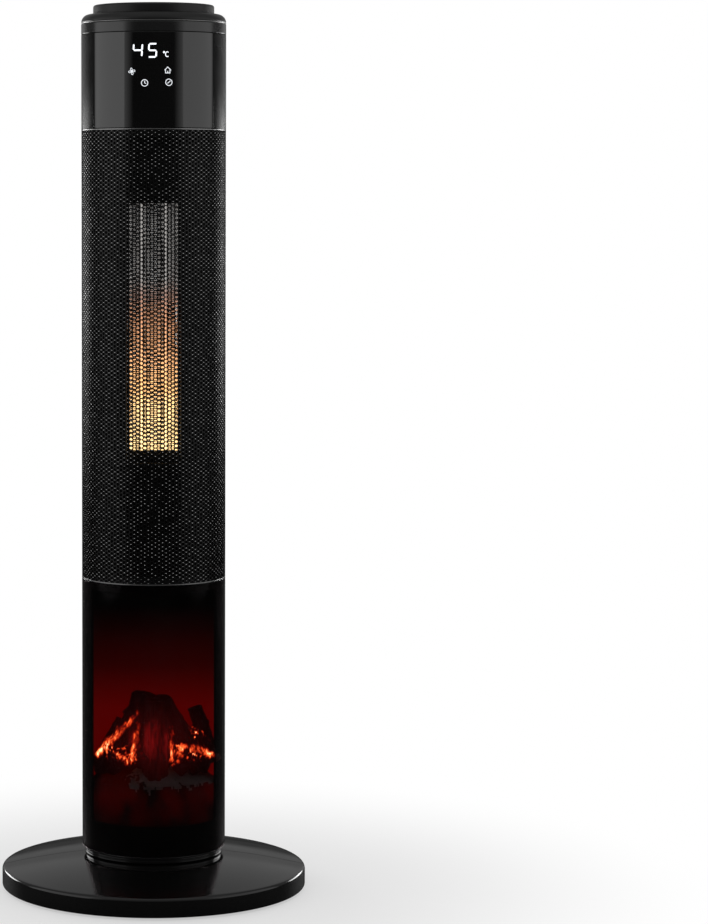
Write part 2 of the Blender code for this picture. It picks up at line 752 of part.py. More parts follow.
def make_front_frame(parent):
    """The carrier behind the window, the grille and the panel, with the cheeks beside the panel."""
    seam = 90.0 - SEAM_ANGLE
    cheek = PANEL_ANGLE + SEAM_ANGLE
    window = (SHELL_Z + FRAME_BAR, FRONT_GRILLE_Z - FRAME_BAR)
    grille = (FRONT_GRILLE_Z + FRAME_BAR, PANEL_Z - FRAME_BAR)
    display = (PANEL_Z + 2 * DISPLAY_VIEW_BAR, HEAD_Z - DISPLAY_VIEW_BAR)
    cheek_z = (PANEL_Z + GAP, HEAD_Z - GAP)

    def is_solid(radius, angle, height):
        if radius > FRAME_OUTER:
            return cheek < abs(angle) < seam and cheek_z[0] < height < cheek_z[1]
        openings = (
            (WINDOW_VIEW_ANGLE, window),
            (GRILLE_VIEW_ANGLE, grille),
            (DISPLAY_VIEW_ANGLE, display),
        )
        return not any(abs(angle) < view and low < height < high for view, (low, high) in openings)

    edges = [FRAME_LIP_ANGLE, seam, cheek, WINDOW_VIEW_ANGLE, GRILLE_VIEW_ANGLE, DISPLAY_VIEW_ANGLE]
    edges += [-edge for edge in edges]
    heights = [SHELL_Z, *window, *grille, *display, *cheek_z]
    radii = [FRAME_INNER, FRAME_OUTER, COLUMN_RADIUS]
    add_part("front_frame", column_sheet(radii, edges, heights, is_solid), "satin_black", parent)


def make_front_covers(parent):
    """The window and the glass panel, which lie on the front frame."""
    seam = 90.0 - SEAM_ANGLE
    for name, look, edge, low, high, outer in (
        ("flame_window", "window_smoke", seam, SHELL_Z, FRONT_GRILLE_Z - GAP, COLUMN_RADIUS),
        ("control_panel", "panel_glass", PANEL_ANGLE, PANEL_Z + GAP, HEAD_Z - GAP, COLUMN_RADIUS),
    ):
        sheet = column_sheet([SHELL_INNER, outer], [-edge, edge], [low, high], whole)
        add_part(name, sheet, look, parent)


def opening_spans(low, high, count, bar):
    """Where equal openings between equal bars start and end."""
    pitch = (high - low - bar) / count
    return [(low + bar + number * pitch, low + (number + 1) * pitch) for number in range(count)]


def make_front_grille(parent):
    """The outlet grille: a grid of large openings in place of its thousands of small holes."""
    edge = 90.0 - SEAM_ANGLE
    low, high = FRONT_GRILLE_Z, PANEL_Z - GAP
    outer = SHELL_INNER + GRILLE_WALL
    across = opening_spans(-edge, edge, GRILLE_COLUMNS, math.degrees(GRILLE_BAR / outer))
    upwards = opening_spans(low, high, GRILLE_ROWS, GRILLE_BAR)

    def is_solid(radius, angle, height):
        open_across = any(first < angle < last for first, last in across)
        return not (open_across and any(foot < height < head for foot, head in upwards))

    edges = [-edge, edge] + [turn for span in across for turn in span]
    heights = [low, high] + [z for span in upwards for z in span]
    sheet = column_sheet([SHELL_INNER, outer], edges, heights, is_solid)
    add_part("front_grille", sheet, "grille_metal", parent)


def degrees_wide(width):
    """Half of a width across the column's surface, as an angle."""
    return math.degrees(math.asin(width / (2 * COLUMN_RADIUS * FACET_FLAT_SHARE)))


def vent_heights():
    """The vent's foot and top: it covers the blower's bay."""
    return BAY_Z, UPPER_DECK_Z - GAP


def make_rear_shell(parent):
    """The back of the column, with its openings, the plate's recess and 12 screw holes."""
    seam = 90.0 + SEAM_ANGLE
    gap_turn = math.degrees(GAP / COLUMN_RADIUS)
    switch_half = SWITCH_HEIGHT / 2 + GAP
    openings = (
        (degrees_wide(SWITCH_WIDTH) + 2 * gap_turn, (SWITCH_Z - switch_half, SWITCH_Z + switch_half)),
        (VENT_ANGLE, vent_heights()),
        (HANDLE_ANGLE, (HANDLE_Z, HANDLE_TOP_Z)),
    )
    plate_turn = degrees_wide(PLATE_WIDTH) + gap_turn
    plate_z = (PLATE_Z - GAP, PLATE_Z + PLATE_HEIGHT + GAP)

    def is_solid(radius, angle, height):
        off = abs(angle - 180.0)
        if any(off < half and low < height < high for half, (low, high) in openings):
            return False
        recessed = off < plate_turn and plate_z[0] < height < plate_z[1]
        return not (recessed and radius > COLUMN_RADIUS - PLATE_RECESS)

    turns = [plate_turn] + [half for half, _ in openings]
    edges = [seam, 360.0 - seam] + [180.0 + side * turn for turn in turns for side in (-1, 1)]
    heights = [SHELL_Z, HEAD_Z - GAP, *plate_z] + [z for _, span in openings for z in span]
    radii = [SHELL_INNER, COLUMN_RADIUS - PLATE_RECESS, COLUMN_RADIUS]
    shell = column_sheet(radii, edges, heights, is_solid)
    tall = HEAD_Z - SHELL_Z
    holes = [
        rod(
            SHELL_SCREW_HOLE,
            on_circle(SHELL_INNER - OVERRUN, 180.0 + side * SHELL_SCREW_ANGLE, SHELL_Z + share * tall),
            on_circle(COLUMN_RADIUS + OVERRUN, 180.0 + side * SHELL_SCREW_ANGLE, SHELL_Z + share * tall),
            SMALL_SIDES,
        )
        for side in (-1, 1)
        for share in SHELL_SCREW_HEIGHT_SHARES
    ]
    add_part("rear_shell", cut(shell, *holes), "satin_black", parent)


def make_rear_grille(parent):
    """The slotted air inlet: rows of slots between ribs, split by upright bars."""
    low, high = vent_heights()
    low, high = low + GAP, high - GAP
    edge = VENT_ANGLE - math.degrees(GAP / SHELL_INNER)
    pitch = (high - low - 2 * VENT_BORDER + VENT_RIB) / VENT_ROWS
    slots = []
    for row in range(VENT_ROWS):
        foot = low + VENT_BORDER + row * pitch
        slots.append((foot, foot + pitch - VENT_RIB))
    half_bar = math.degrees(VENT_BAR / (2 * COLUMN_RADIUS))
    step = 2 * VENT_ANGLE / VENT_COLUMNS
    columns = []
    for column in range(VENT_COLUMNS):
        first = -VENT_ANGLE + column * step
        columns.append((first + half_bar, first + step - half_bar))

    def is_solid(radius, angle, height):
        across = any(first < angle - 180.0 < last for first, last in columns)
        return not (across and any(foot < height < head for foot, head in slots))

    edges = [180.0 - edge, 180.0 + edge] + [180.0 + turn for span in columns for turn in span]
    heights = [low, high] + [z for span in slots for z in span]
    sheet = column_sheet([SHELL_INNER, COLUMN_RADIUS], edges, heights, is_solid)
    add_part("rear_grille", sheet, "satin_black", parent)


def make_handle_cup(parent):
    """The grip: a cup through the rear shell with a thin rim on the outside."""
    floor = COLUMN_RADIUS - HANDLE_DEPTH
    rim_foot = COLUMN_RADIUS + GAP
    gap_turn = math.degrees(GAP / SHELL_INNER)
    wall_turn = math.degrees(HANDLE_WALL / COLUMN_RADIUS)
    outer = HANDLE_ANGLE - gap_turn
    inner = outer - wall_turn
    rim = HANDLE_ANGLE + math.degrees(HANDLE_RIM / COLUMN_RADIUS)
    low, high = HANDLE_Z + GAP, HANDLE_TOP_Z - GAP

    def is_solid(radius, angle, height):
        off = abs(angle - 180.0)
        in_cup = off < outer and low < height < high
        in_hollow = off < inner and low + HANDLE_WALL < height < high - HANDLE_WALL
        if radius < floor:
            return in_cup
        if radius < rim_foot:
            return in_cup and not in_hollow
        return not in_hollow

    edges = [180.0 + side * turn for turn in (inner, outer, rim) for side in (-1, 1)]
    heights = [low - HANDLE_RIM, low, low + HANDLE_WALL, high - HANDLE_WALL, high, high + HANDLE_RIM]
    radii = [floor - HANDLE_WALL, floor, rim_foot, rim_foot + HANDLE_RIM_HEIGHT]
    add_part("handle_cup", column_sheet(radii, edges, heights, is_solid), "satin_black", parent)


def make_rating_plate(parent):
    foot = COLUMN_RADIUS - PLATE_RECESS + GAP
    half = degrees_wide(PLATE_WIDTH)
    edges = [180.0 - half, 180.0 + half]
    heights = [PLATE_Z, PLATE_Z + PLATE_HEIGHT]
    sheet = column_sheet([foot, foot + PLATE_THICKNESS], edges, heights, whole)
    add_part("rating_plate", sheet, "silver_label", parent)


def make_head(parent):
    """The ring, the rounded shoulder and the raised disc that close the top, and the ring's screws."""
    inner = COLUMN_RADIUS - HEAD_WALL
    screw_z = HEAD_Z + HEAD_RING_HEIGHT / 3
    ring = disc(COLUMN_RADIUS, HEAD_Z, SHOULDER_Z - GAP, COLUMN_FACETS, inner)
    seat = COLUMN_RADIUS - COLUMN_WALL
    holes = []
    for name, side in (("head_screw_left", -1), ("head_screw_right", 1)):
        angle = 180.0 + side * HEAD_SCREW_ANGLE
        ends = [on_circle(r, angle, screw_z) for r in (inner - OVERRUN, seat, COLUMN_RADIUS + OVERRUN)]
        holes.append(rod(SCREW_RADIUS + GAP, ends[0], ends[1], SMALL_SIDES))
        holes.append(rod(SHELL_SCREW_HOLE, on_circle(seat - GAP, angle, screw_z), ends[2], SMALL_SIDES))
        head = rod(SHELL_SCREW_HOLE - GAP, (0, 0, 0), (0, 0, SCREW_HEAD_HEIGHT), SMALL_SIDES)
        shank = rod(SCREW_RADIUS, (0, 0, -HEAD_WALL / 2), (0, 0, SCREW_HEAD_HEIGHT / 2), SMALL_SIDES)
        turn = math.radians(angle)
        screw = united(head, shank)
        add_part(name, screw, "steel", parent, on_circle(seat, angle, screw_z), (math.pi / 2, 0, turn))
    add_part("head_ring", cut(ring, *holes), "gloss_black", parent)
    arc = [
        (
            COLUMN_RADIUS - SHOULDER_HEIGHT * (1 - math.cos(math.radians(90.0 * step / SHOULDER_STEPS))),
            SHOULDER_Z + SHOULDER_HEIGHT * math.sin(math.radians(90.0 * step / SHOULDER_STEPS)),
        )
        for step in range(SHOULDER_STEPS + 1)
    ]
    arc[-1] = (arc[-1][0], CAP_Z - GAP)
    shoulder = [(inner - HEAD_WALL, SHOULDER_Z), *arc, (inner - HEAD_WALL, CAP_Z - GAP)]
    add_part("top_shoulder", turned(shoulder, COLUMN_FACETS), "gloss_black", parent)
    cap = [
        (0, CAP_Z),
        (CAP_RADIUS, CAP_Z),
        (CAP_RADIUS, TOP_Z - CAP_EDGE),
        (CAP_RADIUS - CAP_EDGE, TOP_Z),
        (0, TOP_Z),
    ]
    add_part("top_cap", turned(cap, COLUMN_FACETS), "gloss_black", parent)


# Mains switch

def make_switch(parent, rocker_axis):
    """The switch's body in the rear shell, and the rocker on its pivot."""
    foot_y = COLUMN_RADIUS - SWITCH_DEPTH
    bezel_y = COLUMN_RADIUS + GAP
    face_y = bezel_y + SWITCH_BEZEL_HEIGHT
    half = Vector((SWITCH_WIDTH / 2 - GAP, 0, SWITCH_HEIGHT / 2 - GAP))
    edge = Vector((SWITCH_BEZEL, 0, SWITCH_BEZEL))
    centre = Vector((0, 0, SWITCH_Z))
    upright = Vector((0, 1, 0))
    body = box(centre - half + upright * foot_y, centre + half + upright * face_y)
    bezel = box(centre - half - edge + upright * bezel_y, centre + half + edge + upright * face_y)
    pocket_half = Vector((ROCKER_WIDTH / 2 + GAP, 0, ROCKER_HEIGHT / 2 + ROCKER_END_CLEARANCE))
    pocket_y = (face_y - SWITCH_POCKET_DEPTH, face_y + OVERRUN)
    pocket = box(centre - pocket_half + upright * pocket_y[0], centre + pocket_half + upright * pocket_y[1])
    bore_half = ROCKER_WIDTH / 2 + ROCKER_PIN_LENGTH + GAP
    bore = rod(
        ROCKER_PIN_RADIUS + GAP,
        (-bore_half, ROCKER_Y, SWITCH_Z),
        (bore_half, ROCKER_Y, SWITCH_Z),
        ROUND_SIDES,
    )
    add_part("switch_body", cut(united(body, bezel), pocket, bore), "matt_black", parent)
    half_height = ROCKER_HEIGHT / 2
    rise = half_height * math.tan(math.radians(ROCKER_TRAVEL / 2))
    section = [
        (-half_height, ROCKER_CROWN + rise),
        (-half_height, ROCKER_CROWN + rise - ROCKER_THICKNESS / 2),
        (-half_height / 3, ROCKER_CROWN - ROCKER_THICKNESS),
        (half_height / 3, ROCKER_CROWN - ROCKER_THICKNESS),
        (half_height, ROCKER_CROWN + rise - ROCKER_THICKNESS / 2),
        (half_height, ROCKER_CROWN + rise),
        (0, ROCKER_CROWN),
    ]
    block = prism(section, -ROCKER_WIDTH / 2, ROCKER_WIDTH / 2)
    block.transform(Matrix(((0, 0, 1, 0), (0, 1, 0, 0), (1, 0, 0, 0), (0, 0, 0, 1))))
    block.flip_normals()
    pin_half = ROCKER_WIDTH / 2 + ROCKER_PIN_LENGTH
    pin = rod(ROCKER_PIN_RADIUS, (-pin_half, 0, 0), (pin_half, 0, 0), ROUND_SIDES)
    turn = (math.radians(-ROCKER_TRAVEL / 2), 0, 0)
    add_part("rocker", united(block, pin), "red_rocker", rocker_axis, (0, 0, 0), turn)


# Partitions and log fire

def make_decks(parent):
    """The firebox tray, with the spindle's lug, and the decks under and over the blower."""
    tray = disc(CLEAR_RADIUS, TRAY_Z, TRAY_TOP_Z, COLUMN_FACETS)
    lug_x = -SPINDLE_LENGTH / 2
    lug = box(
        (lug_x - LUG_THICKNESS / 2, SPINDLE_Y - LUG_WIDTH / 2, TRAY_TOP_Z - DECK / 2),
        (lug_x + LUG_THICKNESS / 2, SPINDLE_Y + LUG_WIDTH / 2, SPINDLE_Z + LUG_WIDTH / 2),
    )
    bore = rod(
        SPINDLE_RADIUS + GAP,
        (lug_x - LUG_THICKNESS, SPINDLE_Y, SPINDLE_Z),
        (lug_x + LUG_THICKNESS, SPINDLE_Y, SPINDLE_Z),
        ROUND_SIDES,
    )
    add_part("firebox_tray", cut(united(tray, lug), bore), "matt_black", parent)
    for name, foot in (("middle_deck", MIDDLE_DECK_Z), ("upper_deck", UPPER_DECK_Z)):
        add_part(name, disc(CLEAR_RADIUS, foot, foot + DECK, COLUMN_FACETS), "matt_black", parent)


def bed_height(radius):
    """The height of the ember bed's sloping top."""
    reach = (CLEAR_RADIUS - radius) / (CLEAR_RADIUS - BED_INNER_RADIUS)
    return TRAY_TOP_Z + BED_OUTER_RISE + (BED_INNER_RISE - BED_OUTER_RISE) * reach


def log_bar(low, high, thickness):
    """A log between two points given as (x, y, rise over the tray)."""
    ends = [Vector((x, y, TRAY_TOP_Z + rise)) for x, y, rise in (low, high)]
    return rod(LOG_RADIUS * thickness, ends[0], ends[1], LOG_SIDES)


def make_log_fire(parent):
    """The ember bed with its lamps below, the leaning logs on it and the screen behind them."""
    bed = [
        (CLEAR_RADIUS, TRAY_TOP_Z + GAP),
        (CLEAR_RADIUS, bed_height(CLEAR_RADIUS)),
        (BED_INNER_RADIUS, bed_height(BED_INNER_RADIUS)),
        (BED_INNER_RADIUS, bed_height(BED_INNER_RADIUS) - BED_SKIN),
        (CLEAR_RADIUS - BED_SKIN, bed_height(CLEAR_RADIUS) - BED_SKIN),
        (CLEAR_RADIUS - BED_SKIN, TRAY_TOP_Z + GAP),
    ]
    add_part("ember_bed", turned(bed, COLUMN_FACETS, -BED_ANGLE, BED_ANGLE), "ember_glow", parent)
    lamps = centred_box(LED_BOARD_SIZE, (0, LED_BOARD_Y, TRAY_TOP_Z + GAP))
    add_part("led_board", lamps, "board_green", parent)
    width = 2 * (CLEAR_RADIUS - SCREEN_MARGIN)
    tall = FRONT_GRILLE_Z - SCREEN_MARGIN - TRAY_TOP_Z
    screen = centred_box((width, SCREEN_THICKNESS, tall), (0, SCREEN_Y, TRAY_TOP_Z + GAP))
    add_part("flame_screen", screen, "screen_red", parent)
    bed_top = [
        (0, TRAY_TOP_Z),
        (CLEAR_RADIUS, TRAY_TOP_Z),
        (CLEAR_RADIUS, bed_height(CLEAR_RADIUS) + GAP),
        (BED_INNER_RADIUS, bed_height(BED_INNER_RADIUS) + GAP),
        (0, bed_height(BED_INNER_RADIUS) + GAP),
    ]
    logs = united(*[log_bar(low, high, thickness) for low, high, thickness in LOGS])
    logs = cut(logs, turned(bed_top, COLUMN_FACETS))
    add_part("log_set", logs, "charred_wood", parent)


def make_spindle(parent, spindle_axis):
    """The vaned spindle that makes the light flicker, and the motor at its end."""
    angles = np.linspace(0, 360, VANE_COUNT, endpoint=False)
    vane_turn = math.degrees(SPINDLE_RADIUS / (2 * VANE_RADIUS))
    edges = [turn for angle in angles for turn in (angle, angle + vane_turn)] + [360.0]
    spans = [-VANE_SPAN / 2, VANE_SPAN / 2]
    radii = [SPINDLE_RADIUS / 2, VANE_HUB, VANE_RADIUS]

    def place(radius, angle, along):
        turn = math.radians(angle)
        return Vector((along, radius * math.cos(turn), radius * math.sin(turn)))

    vanes = lattice(radii, edges, spans, lambda i, j, k: i == 0 or j % 2 == 0, place, closes=True)
    half = SPINDLE_LENGTH / 2
    shaft = rod(SPINDLE_RADIUS, (-half - LUG_THICKNESS / 2, 0, 0), (half, 0, 0), SMALL_SIDES)
    add_part("flicker_spindle", united(vanes, shaft), "aluminium", spindle_axis)
    motor_x = half + GAP
    motor = rod(SPINDLE_MOTOR_RADIUS, (0, 0, 0), (SPINDLE_MOTOR_LENGTH, 0, 0), ROUND_SIDES)
    foot_z = TRAY_TOP_Z + GAP - SPINDLE_Z
    foot_half = SPINDLE_MOTOR_RADIUS / 2
    foot = box((0, -foot_half, foot_z), (SPINDLE_MOTOR_LENGTH / 2, foot_half, 0))
    add_part("spindle_motor", united(motor, foot), "steel", parent, (motor_x, SPINDLE_Y, SPINDLE_Z))


# Heater and blower

def make_heater(parent):
    """The element behind the grille: a frame with two ceramic bars and three packs of folded fins."""
    half = HEATER_WIDTH / 2
    inner = half - HEATER_FRAME_EDGE
    edge = 2 * HEATER_FRAME_EDGE
    xs = [-half, -inner, inner, half]
    ys = [HEATER_FRONT_Y, HEATER_BACK_Y]
    zs = [HEATER_Z, HEATER_Z + edge, HEATER_TOP_Z - edge, HEATER_TOP_Z]
    frame = lattice(xs, ys, zs, lambda i, j, k: not (i == 1 and k == 1), lambda x, y, z: Vector((x, y, z)))
    add_part("heater_frame", frame, "matt_black", parent)
    low, high = HEATER_Z + edge + GAP, HEATER_TOP_Z - edge - GAP
    middle_y = (HEATER_FRONT_Y + HEATER_BACK_Y) / 2
    bar_x = PTC_SPACING / 2
    for name, x in (("ptc_bar_left", -bar_x), ("ptc_bar_right", bar_x)):
        bar = centred_box((PTC_WIDTH, FIN_DEPTH, high - low), (x, middle_y, low))
        add_part(name, bar, "ptc_ceramic", parent)
    bar_face = bar_x + PTC_WIDTH / 2 + GAP
    bar_back = bar_x - PTC_WIDTH / 2 - GAP
    for name, left, right in (
        ("fin_pack_left", -inner + GAP, -bar_face),
        ("fin_pack_centre", -bar_back, bar_back),
        ("fin_pack_right", bar_face, inner - GAP),
    ):
        fins = folded_strip(left, right, high - low)
        add_part(name, fins, "aluminium", parent, (0, middle_y, low))


def folded_strip(left, right, tall):
    """A strip of fin folded to and fro between two sides, from its foot up."""
    rise = tall / FIN_FOLDS
    half = FIN_DEPTH / 2
    points, faces = [], []
    for fold in range(FIN_FOLDS + 1):
        near = (left, right - FIN_THICKNESS)[fold % 2]
        far = near + FIN_THICKNESS
        for x, y in ((near, -half), (far, -half), (far, half), (near, half)):
            points.append((x, y, fold * rise))
    for fold in range(FIN_FOLDS):
        here, there = 4 * fold, 4 * fold + 4
        for i in range(4):
            j = (i + 1) % 4
            faces.append([here + i, here + j, there + j, there + i])
    last = 4 * FIN_FOLDS
    faces += [[3, 2, 1, 0], [last, last + 1, last + 2, last + 3]]
    return closed_mesh(points, faces, joins_flat=False)


def scroll_radius(angle):
    """The scroll wall's distance from the blower's axis, which grows towards the outlet."""
    travelled = (angle - SCROLL_FIRST_ANGLE) / (SCROLL_LAST_ANGLE - SCROLL_FIRST_ANGLE)
    return SCROLL_START + (SCROLL_END - SCROLL_START) * travelled


def make_duct(parent):
    """The two walls that lead the air from the blower to the element."""
    low, high = BAY_Z + GAP, UPPER_DECK_Z - GAP
    outlet_y = HEATER_BACK_Y + GAP
    inside, outside = [], []
    for angle in np.linspace(SCROLL_FIRST_ANGLE, SCROLL_LAST_ANGLE, SCROLL_STEPS + 1):
        turn = math.radians(angle)
        for wall, points in ((0, inside), (DUCT_WALL, outside)):
            reach = scroll_radius(angle) + wall
            points.append((reach * math.cos(turn), ROTOR_Y + reach * math.sin(turn)))
    inside.append((-DUCT_HALF_WIDTH, outlet_y))
    outside.append((-DUCT_HALF_WIDTH - DUCT_WALL, outlet_y))
    add_part("blower_scroll", prism(inside + outside[::-1], low, high), "matt_black", parent)
    tongue = box((DUCT_HALF_WIDTH, outlet_y, low), (DUCT_HALF_WIDTH + DUCT_WALL, TONGUE_REACH, high))
    add_part("blower_tongue", tongue, "matt_black", parent)
    cutout_foot = (0, outlet_y + GAP + CUTOUT_SIZE[1] / 2, BAY_Z + GAP)
    add_part("thermal_cutout", centred_box(CUTOUT_SIZE, cutout_foot), "nylon", parent)


def rotor_mesh(tall):
    """A squirrel-cage rotor standing on its own axis: two discs with blades between them."""
    starts = np.linspace(0, 360, ROTOR_BLADES, endpoint=False)
    edges = [turn for start in starts for turn in (start, start + ROTOR_BLADE_ANGLE)] + [360.0]
    radii = [SHAFT_RADIUS + GAP, ROTOR_RADIUS - ROTOR_BLADE_DEPTH, ROTOR_RADIUS]
    heights = [0, ROTOR_DISC, tall - ROTOR_DISC, tall]

    def place(radius, angle, height):
        turn = math.radians(angle)
        return Vector((radius * math.cos(turn), radius * math.sin(turn), height))

    return lattice(
        radii, edges, heights, lambda i, j, k: k != 1 or (i == 1 and j % 2 == 0), place, closes=True
    )


def make_blower(parent, blower_axis):
    """The blower: motor in the middle, a rotor over and under it, and a bearing at each end."""
    bearing_top = UPPER_DECK_Z - GAP - BEARING_HEIGHT
    bearing_foot = BAY_Z + GAP
    motor_foot = BAY_MIDDLE_Z - BLOWER_MOTOR_HEIGHT / 2
    motor_top = BAY_MIDDLE_Z + BLOWER_MOTOR_HEIGHT / 2
    bore = SHAFT_RADIUS + GAP
    for name, foot in (("bearing_bottom", bearing_foot), ("bearing_top", bearing_top)):
        ring = disc(BEARING_RADIUS, 0, BEARING_HEIGHT, ROUND_SIDES, bore)
        add_part(name, ring, "brass", parent, (0, ROTOR_Y, foot))
    low = bearing_foot + BEARING_HEIGHT + RUNNING_GAP
    high = bearing_top - RUNNING_GAP
    lower_rotor = rotor_mesh(motor_foot - 2 * RUNNING_GAP - low)
    add_part("rotor_lower", lower_rotor, "matt_black", blower_axis, (0, 0, low))
    upper = motor_top + 2 * RUNNING_GAP
    add_part("rotor_upper", rotor_mesh(high - upper), "matt_black", blower_axis, (0, 0, upper))
    shaft = disc(SHAFT_RADIUS, BAY_Z + RUNNING_GAP, UPPER_DECK_Z - RUNNING_GAP, ROUND_SIDES)
    add_part("rotor_shaft", shaft, "steel", blower_axis)
    housing = disc(BLOWER_MOTOR_RADIUS, motor_foot, motor_top, ROUND_SIDES)
    arm_y = MOTOR_ARM / 2
    arm_z = (BAY_MIDDLE_Z - MOTOR_ARM, BAY_MIDDLE_Z + MOTOR_ARM)
    inside = BLOWER_MOTOR_RADIUS * FACET_FLAT_SHARE - GAP
    scroll_side = scroll_radius(180.0) * math.cos(math.radians(FACET_ANGLE / 2)) - GAP
    tongue_y = TONGUE_REACH - ROTOR_Y - MOTOR_ARM
    left = box((-scroll_side, -arm_y, arm_z[0]), (-inside + MOTOR_ARM, arm_y, arm_z[1]))
    right = box((MOTOR_ARM, tongue_y - arm_y, arm_z[0]), (DUCT_HALF_WIDTH - GAP, tongue_y + arm_y, arm_z[1]))
    hole = disc(bore, motor_foot - OVERRUN, motor_top + OVERRUN, ROUND_SIDES)
    motor = cut(united(housing, left, right), hole)
    add_part("blower_motor", motor, "steel", parent, (0, ROTOR_Y, 0))


# Drive and electronics on the floor plate and behind the panel

def make_swing_motor(parent):
    """The swing motor on two legs over the gears, and the tip-over switch beside it."""
    motor = disc(SWING_MOTOR_RADIUS, SWING_MOTOR_Z, SWING_MOTOR_Z + SWING_MOTOR_HEIGHT, ROUND_SIDES)
    foot = FLOOR_TOP_Z + GAP
    leg_size = (MOTOR_LEG, MOTOR_LEG, SWING_MOTOR_Z + SWING_MOTOR_HEIGHT / 2 - foot)
    legs = [centred_box(leg_size, (side * SWING_MOTOR_RADIUS, MOTOR_LEG, foot)) for side in (-1, 1)]
    add_part("swing_motor", united(motor, *legs), "steel", parent, (0, PINION_Y, 0))
    x, y = TILT_SWITCH_PLACE
    switch = centred_box(TILT_SWITCH_SIZE, (x, y, FLOOR_TOP_Z + GAP))
    add_part("tilt_switch", switch, "nylon", parent)


def make_electronics(parent):
    """The board and digits behind the panel, and the mains board on the upper deck."""
    half = math.sqrt(CLEAR_RADIUS**2 - DISPLAY_BOARD_Y**2)
    board_z = HEAD_Z - GAP - DISPLAY_BOARD_HEIGHT
    board_foot = (0, DISPLAY_BOARD_Y + BOARD_THICKNESS / 2, board_z)
    board = centred_box((2 * half, BOARD_THICKNESS, DISPLAY_BOARD_HEIGHT), board_foot)
    add_part("display_board", board, "board_green", parent)
    digit_y = DISPLAY_BOARD_Y - GAP - DIGIT_SIZE[1] / 2
    digits = centred_box(DIGIT_SIZE, (0, digit_y, PANEL_Z + DIGIT_RISE))
    add_part("digit_display", digits, "display_white", parent)
    foot = UPPER_DECK_TOP_Z + GAP
    board = centred_box(CONTROL_BOARD_SIZE, (0, CONTROL_BOARD_Y, foot))
    back = CONTROL_BOARD_Y
    seat = foot + RELAY_SIZE[2] / 2
    transformer_foot = (-CONTROL_BOARD_SIZE[0] / 5, back + TRANSFORMER_SIZE[1] / 2, seat)
    transformer = centred_box(TRANSFORMER_SIZE, transformer_foot)
    relays = [
        centred_box(
            RELAY_SIZE,
            (CONTROL_BOARD_SIZE[0] / 4, back + RELAY_SIZE[1] / 2, seat + RELAY_SIZE[2] * 1.5 * place),
        )
        for place in range(2)
    ]
    add_part("control_board", united(board, transformer, *relays), "board_green", parent)


# Logs as (foot, head, thickness share): places are shares of the firebox's clear radius
LOG_PLACE_SHARES = (
    ((-0.62, -0.52, 0.70), (-0.10, -0.40, 1.98), 0.80),
    ((0.62, -0.50, 0.70), (0.10, -0.38, 1.90), 0.80),
    ((0.02, -0.62, 0.62), (0.02, -0.45, 1.62), 1.10),
    ((-0.20, -0.25, 0.80), (-0.12, -0.34, 2.05), 0.90),
    ((-0.30, -0.66, 0.72), (0.45, -0.46, 0.98), 0.70),
)
LOGS = [
    tuple(tuple(share * CLEAR_RADIUS for share in end) for end in (low, high)) + (thickness_share,)
    for low, high, thickness_share in LOG_PLACE_SHARES
]


def main():
    for old in list(bpy.data.objects):
        bpy.data.objects.remove(old)
    base = axis_empty("base", (0, 0, FLOOR_Z))
    column = axis_empty("column", (0, 0, 0), base)
    make_base(base)
    make_feet_and_screws(base)
    make_gland(base)
    make_pedestal(base)
    make_swing_gears(base, axis_empty("pinion_axis", (0, PINION_Y, RING_GEAR_Z + RUNNING_GAP / 2), column))
    make_column_floor(column)
    make_front_frame(column)
    make_front_covers(column)
    make_front_grille(column)
    make_rear_shell(column)
    make_rear_grille(column)
    make_handle_cup(column)
    make_rating_plate(column)
    make_head(column)
    make_switch(column, axis_empty("rocker_axis", (0, ROCKER_Y, SWITCH_Z), column))
    make_decks(column)
    make_log_fire(column)
    make_spindle(column, axis_empty("spindle_axis", (0, SPINDLE_Y, SPINDLE_Z), column))
    make_heater(column)
    make_duct(column)
    make_blower(column, axis_empty("blower_axis", (0, ROTOR_Y, 0), column))
    make_swing_motor(column)
    make_electronics(column)


main()
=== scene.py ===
"""Looks of a round tower heater with a log-fire window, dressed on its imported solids.

Lengths are in metres and angles in degrees unless a name says otherwise. Angles round the column
start at its front and grow towards +X, and the front faces -Y.
"""

from __future__ import annotations

import logging
import math
from collections.abc import Sequence
from dataclasses import dataclass, field
from enum import Enum
from typing import Any

import bmesh
import bpy
from mathutils import Matrix, Vector, noise


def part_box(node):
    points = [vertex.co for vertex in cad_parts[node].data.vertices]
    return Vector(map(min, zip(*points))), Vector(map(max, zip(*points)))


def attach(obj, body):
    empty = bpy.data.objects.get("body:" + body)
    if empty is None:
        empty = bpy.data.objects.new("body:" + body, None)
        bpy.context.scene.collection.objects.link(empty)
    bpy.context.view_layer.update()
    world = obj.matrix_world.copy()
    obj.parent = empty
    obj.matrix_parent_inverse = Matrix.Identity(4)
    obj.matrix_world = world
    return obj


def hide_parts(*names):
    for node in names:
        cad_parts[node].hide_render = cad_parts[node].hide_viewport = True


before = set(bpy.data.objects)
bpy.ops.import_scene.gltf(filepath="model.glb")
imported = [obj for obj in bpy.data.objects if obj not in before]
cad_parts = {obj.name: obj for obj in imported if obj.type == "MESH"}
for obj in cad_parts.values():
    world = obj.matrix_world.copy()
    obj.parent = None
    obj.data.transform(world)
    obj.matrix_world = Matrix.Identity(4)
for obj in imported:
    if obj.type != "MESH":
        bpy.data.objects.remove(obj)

log = logging.getLogger("tower_heater")

MM = 0.001
FULL_TURN = 360.0
REAR = 180.0
# Deeper than any sheet is thick
THROUGH = 0.01

# Most of a grain's pattern lies between these values
FAINT, STRONG = 0.35, 0.65

Piece = bpy.types.Object
NodeTree = bpy.types.NodeTree
Point = tuple[float, float]
Profile = Sequence[Point]
Stops = tuple[tuple[float, str], ...]


